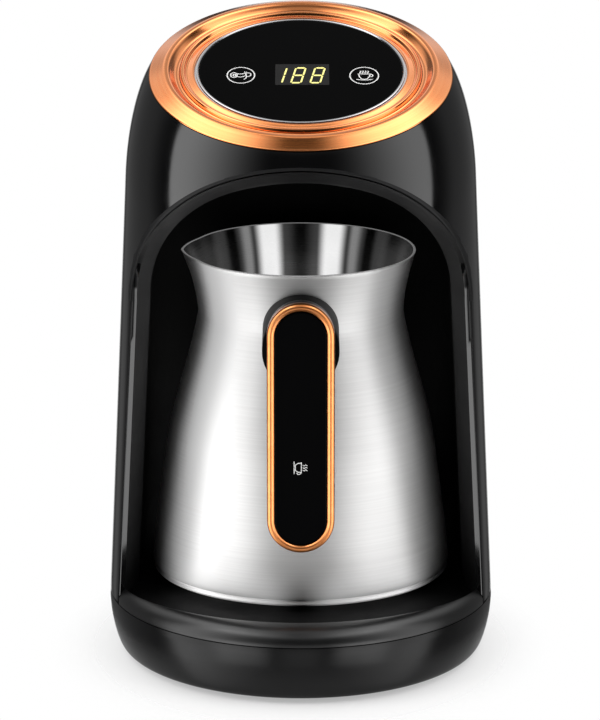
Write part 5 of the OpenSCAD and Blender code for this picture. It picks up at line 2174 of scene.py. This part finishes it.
@dataclass(frozen=True)
class Innards:
    """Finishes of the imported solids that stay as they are."""

    finishes: tuple[tuple[Finish, tuple[str, ...]], ...] = (
        (LINER_BLACK, ("alcove_liner",)),
        (PLAIN_BLACK, ("bottom_cover", "panel_tray", "buzzer", "thermostat")),
        (RUBBER, ("rubber_feet", "cord_gland")),
        (PLATE_DARK, ("heating_plate",)),
        (SILICONE, ("plate_seal",)),
        (CERAMIC, ("sensor_guide",)),
        (PLAIN_ALUMINIUM, ("sensor_plunger",)),
        (PLAIN_STEEL, ("heating_element", "plate_clamp", "sensor_spring", "thermal_fuse", "touch_springs",
                       "handle_bracket")),
        (SCREW_STEEL, ("base_screws", "clamp_screws", "shell_screws", "board_screws", "tray_screws",
                       "handle_screws")),
        (WINDOW_SMOKE, ("sensor_window",)),
        (BOARD_GREEN, ("power_board", "control_board", "foam_sensor")),
        (RELAY_BLUE, ("relay",)),
        (CAP_YELLOW, ("filter_capacitor",)),
        (TERMINAL_GREEN, ("terminal_block",)),
        (LEAD_BROWN, ("inner_leads",)),
        (DISPLAY_GREY, ("display_module",)),
    )

    def build(self) -> None:
        """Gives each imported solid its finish."""
        for finish, nodes in self.finishes:
            for node in nodes:
                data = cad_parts[node].data
                data.materials.clear()
                data.materials.append(finish.material())
                LOG.info("%s: %s", node, finish.name)


# -------------------- studio


@dataclass(frozen=True)
class SoftLight:
    """A soft patch of the surround: in degrees, where it comes in and fades out round and upward."""

    strength: float
    turn_in: Limits | None = None
    turn_out: Limits | None = None
    up_in: Limits | None = None
    up_out: Limits | None = None

    def glow(self, turn: Wire, up: Wire) -> Wire:
        """The patch's light.

        Args:
            turn: Azimuth of a direction, from 0 toward the camera to 180 behind.
            up: Its height over the horizon.

        Returns:
            The light.
        """
        light: "Wire | Number" = 1.0
        for angle, rise, fall in ((turn, self.turn_in, self.turn_out), (up, self.up_in, self.up_out)):
            if rise:
                light = light * angle.smooth(*rise)
            if fall:
                light = light * (1 - angle.smooth(*fall))
        return light * self.strength


@dataclass(frozen=True)
class Studio:
    """Floor, light and camera."""

    elevation: float = 14.82
    distance: float = 1783.3
    aim: tuple[float, float, float] = (0.0, -12.0, 107.6)
    lens_mm: float = 245.0
    shift_x: float = -0.0011
    floor_r: float = 150.0
    fade_from: float = 62.0
    fade_to: float = 118.0
    fade_aside: float = 1.25
    floor_white: float = 0.38
    mirror_white: float = 0.15
    dark: float = 0.012
    roof: float = 2.6
    wings: SoftLight = SoftLight(2.0, turn_out=(89, 92), up_in=(-62, -46), up_out=(58, 72))
    wing_bend: float = 1.25
    halo: SoftLight = SoftLight(0.9, turn_in=(100, 125), up_in=(24, 38))
    halo_dip: float = 0.45
    patches: tuple[SoftLight, ...] = (
        SoftLight(0.75, turn_out=(8, 18), up_in=(-38, -28), up_out=(-8, 0)),
        SoftLight(0.4, turn_out=(95, 125), up_in=(36, 52), up_out=(60, 70)),
        SoftLight(0.4, up_in=(80, 86)),
        SoftLight(0.15, turn_in=(94, 118), turn_out=(156, 168), up_in=(-34, -18), up_out=(22, 34)),
        SoftLight(0.75, turn_in=(150, 164), up_in=(6, 18), up_out=(30, 44)),
        SoftLight(2.4, turn_in=(18, 28), turn_out=(50, 62), up_in=(-34, -26), up_out=(-6, 2)),
    )
    backdrop: SoftLight = SoftLight(1.0, turn_in=(164, 176), up_out=(-4, 2))
    left_wing: float = 1.18
    right_wing: float = 0.9

    @staticmethod
    def _background_rays(board: Board, camera: float, mirror: "Wire | Number") -> Wire:
        """Share of the white background in what a ray sees.

        Args:
            board: The board to build on.
            camera: Share for camera rays.
            mirror: Share for glossy and transmission rays.

        Returns:
            The share, at most 1.
        """
        seen = {kind: board.node("ShaderNodeLightPath", output=f"Is {kind} Ray")
                for kind in ("Camera", "Glossy", "Transmission")}
        share = seen["Camera"] * camera + (seen["Glossy"] + seen["Transmission"]) * mirror
        return board.reckon("MINIMUM", share, 1.0)

    def floor(self) -> None:
        """A round pale floor that fades into the white round it and keeps the shadow."""
        rows = revolved([(0, 0), (50, 0), (100, 0), (self.floor_r, 0)], 96, self.aim[1])
        made = bpy.data.materials.new("floor_pale")
        made.use_nodes = True
        board = Board(made.node_tree)
        place = board.place()
        x, y, _ = board.apart(place)
        x, y = x * self.fade_aside, y - self.aim[1] * MM
        fade = ((x * x + y * y) ** 0.5).smooth(self.fade_from * MM, self.fade_to * MM)
        speck = board.noise(place, scale=500.0)
        ground = board.node("ShaderNodeBsdfPrincipled", inputs={
            "Base Color": board.mixed(speck, (0.93,) * 3, (0.95,) * 3), "Roughness": 0.9,
            "Specular IOR Level": 0.1})
        white = board.node("ShaderNodeEmission", inputs={"Color": (1, 1, 1, 1), "Strength": 1.0})
        clear = board.node("ShaderNodeBsdfTransparent")
        lit = board.node("ShaderNodeMixShader", inputs={
            0: self._background_rays(board, self.floor_white, self.mirror_white), 1: ground, 2: white})
        board.node("ShaderNodeOutputMaterial", inputs={
            "Surface": board.node("ShaderNodeMixShader", inputs={0: fade, 1: lit, 2: clear})})
        thing = Shape().grid(rows).object("floor", LINER_BLACK)
        thing.data.materials.clear()
        thing.data.materials.append(made)

    def world(self) -> None:
        """A dark surround without lamps, with soft lights in it and a white background for the camera.

        Two tall wings light the sides and a roof the top. The halo and the patches draw the lights that show
        in the rings, the pot and the deck. Behind the object, glossy rays see the white background under the
        horizon as well.
        """
        world = bpy.data.worlds.new("studio")
        bpy.context.scene.world = world
        world.use_nodes = True
        board = Board(world.node_tree)
        x, y, z = board.apart(board.node("ShaderNodeTexCoord", output="Generated"))
        aside, degrees = abs(x), 180 / math.pi
        turn = board.reckon("ARCTAN2", aside, 0.0 - y) * degrees
        up = board.reckon("ARCSINE", z) * degrees
        # the left wing is a little stronger than the right one, and both grow outward
        side = self.left_wing - x.smooth(-0.3, 0.3) * (self.left_wing - self.right_wing)
        light = self.dark + self.wings.glow(turn, up) * turn.smooth(16, 82) ** self.wing_bend * side
        light = light + aside.smooth(0.06, 0.42) * up.smooth(46, 62) * self.roof
        light = light + self.halo.glow(turn, up) * (1 - turn.smooth(158, 178) * self.halo_dip)
        for patch in self.patches:
            light = light + patch.glow(turn, up)
        behind = self.backdrop.glow(turn, up)
        dim = board.node("ShaderNodeBackground", inputs={"Color": (1, 1, 1, 1), "Strength": light})
        white = board.node("ShaderNodeBackground", inputs={"Color": (1, 1, 1, 1), "Strength": 1.0})
        board.node("ShaderNodeOutputWorld", inputs={
            "Surface": board.node("ShaderNodeMixShader", inputs={
                0: self._background_rays(board, 1.0, behind), 1: dim, 2: white})})

    def camera(self) -> None:
        """The camera at the photograph's viewing angle."""
        e, aim = math.radians(self.elevation), Vector(self.aim) * MM
        place = aim + Vector((0, -math.cos(e), math.sin(e))) * self.distance * MM
        data = bpy.data.cameras.new("view")
        data.lens, data.sensor_width, data.sensor_fit = self.lens_mm, 36.0, "AUTO"
        data.shift_x = self.shift_x
        data.clip_end = 20.0
        made = bpy.data.objects.new("view", data)
        made.matrix_world = Matrix.LocRotScale(place, (aim - place).to_track_quat("-Z", "Y"), None)
        bpy.context.scene.collection.objects.link(made)
        bpy.context.scene.camera = made

    def build(self) -> None:
        """Sets the stage."""
        self.camera()
        self.floor()
        self.world()
        bpy.context.scene.view_settings.view_transform = "Standard"


def main() -> None:
    """Builds every sub-assembly in turn."""
    logging.basicConfig(level=logging.INFO, format="%(message)s")
    Studio().build()
    for part in (Shells(), Base(), TOP, PanelSigns(TOP), POT, Handle(POT), Innards()):
        part.build()
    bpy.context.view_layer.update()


if __name__ == "__main__":
    main()
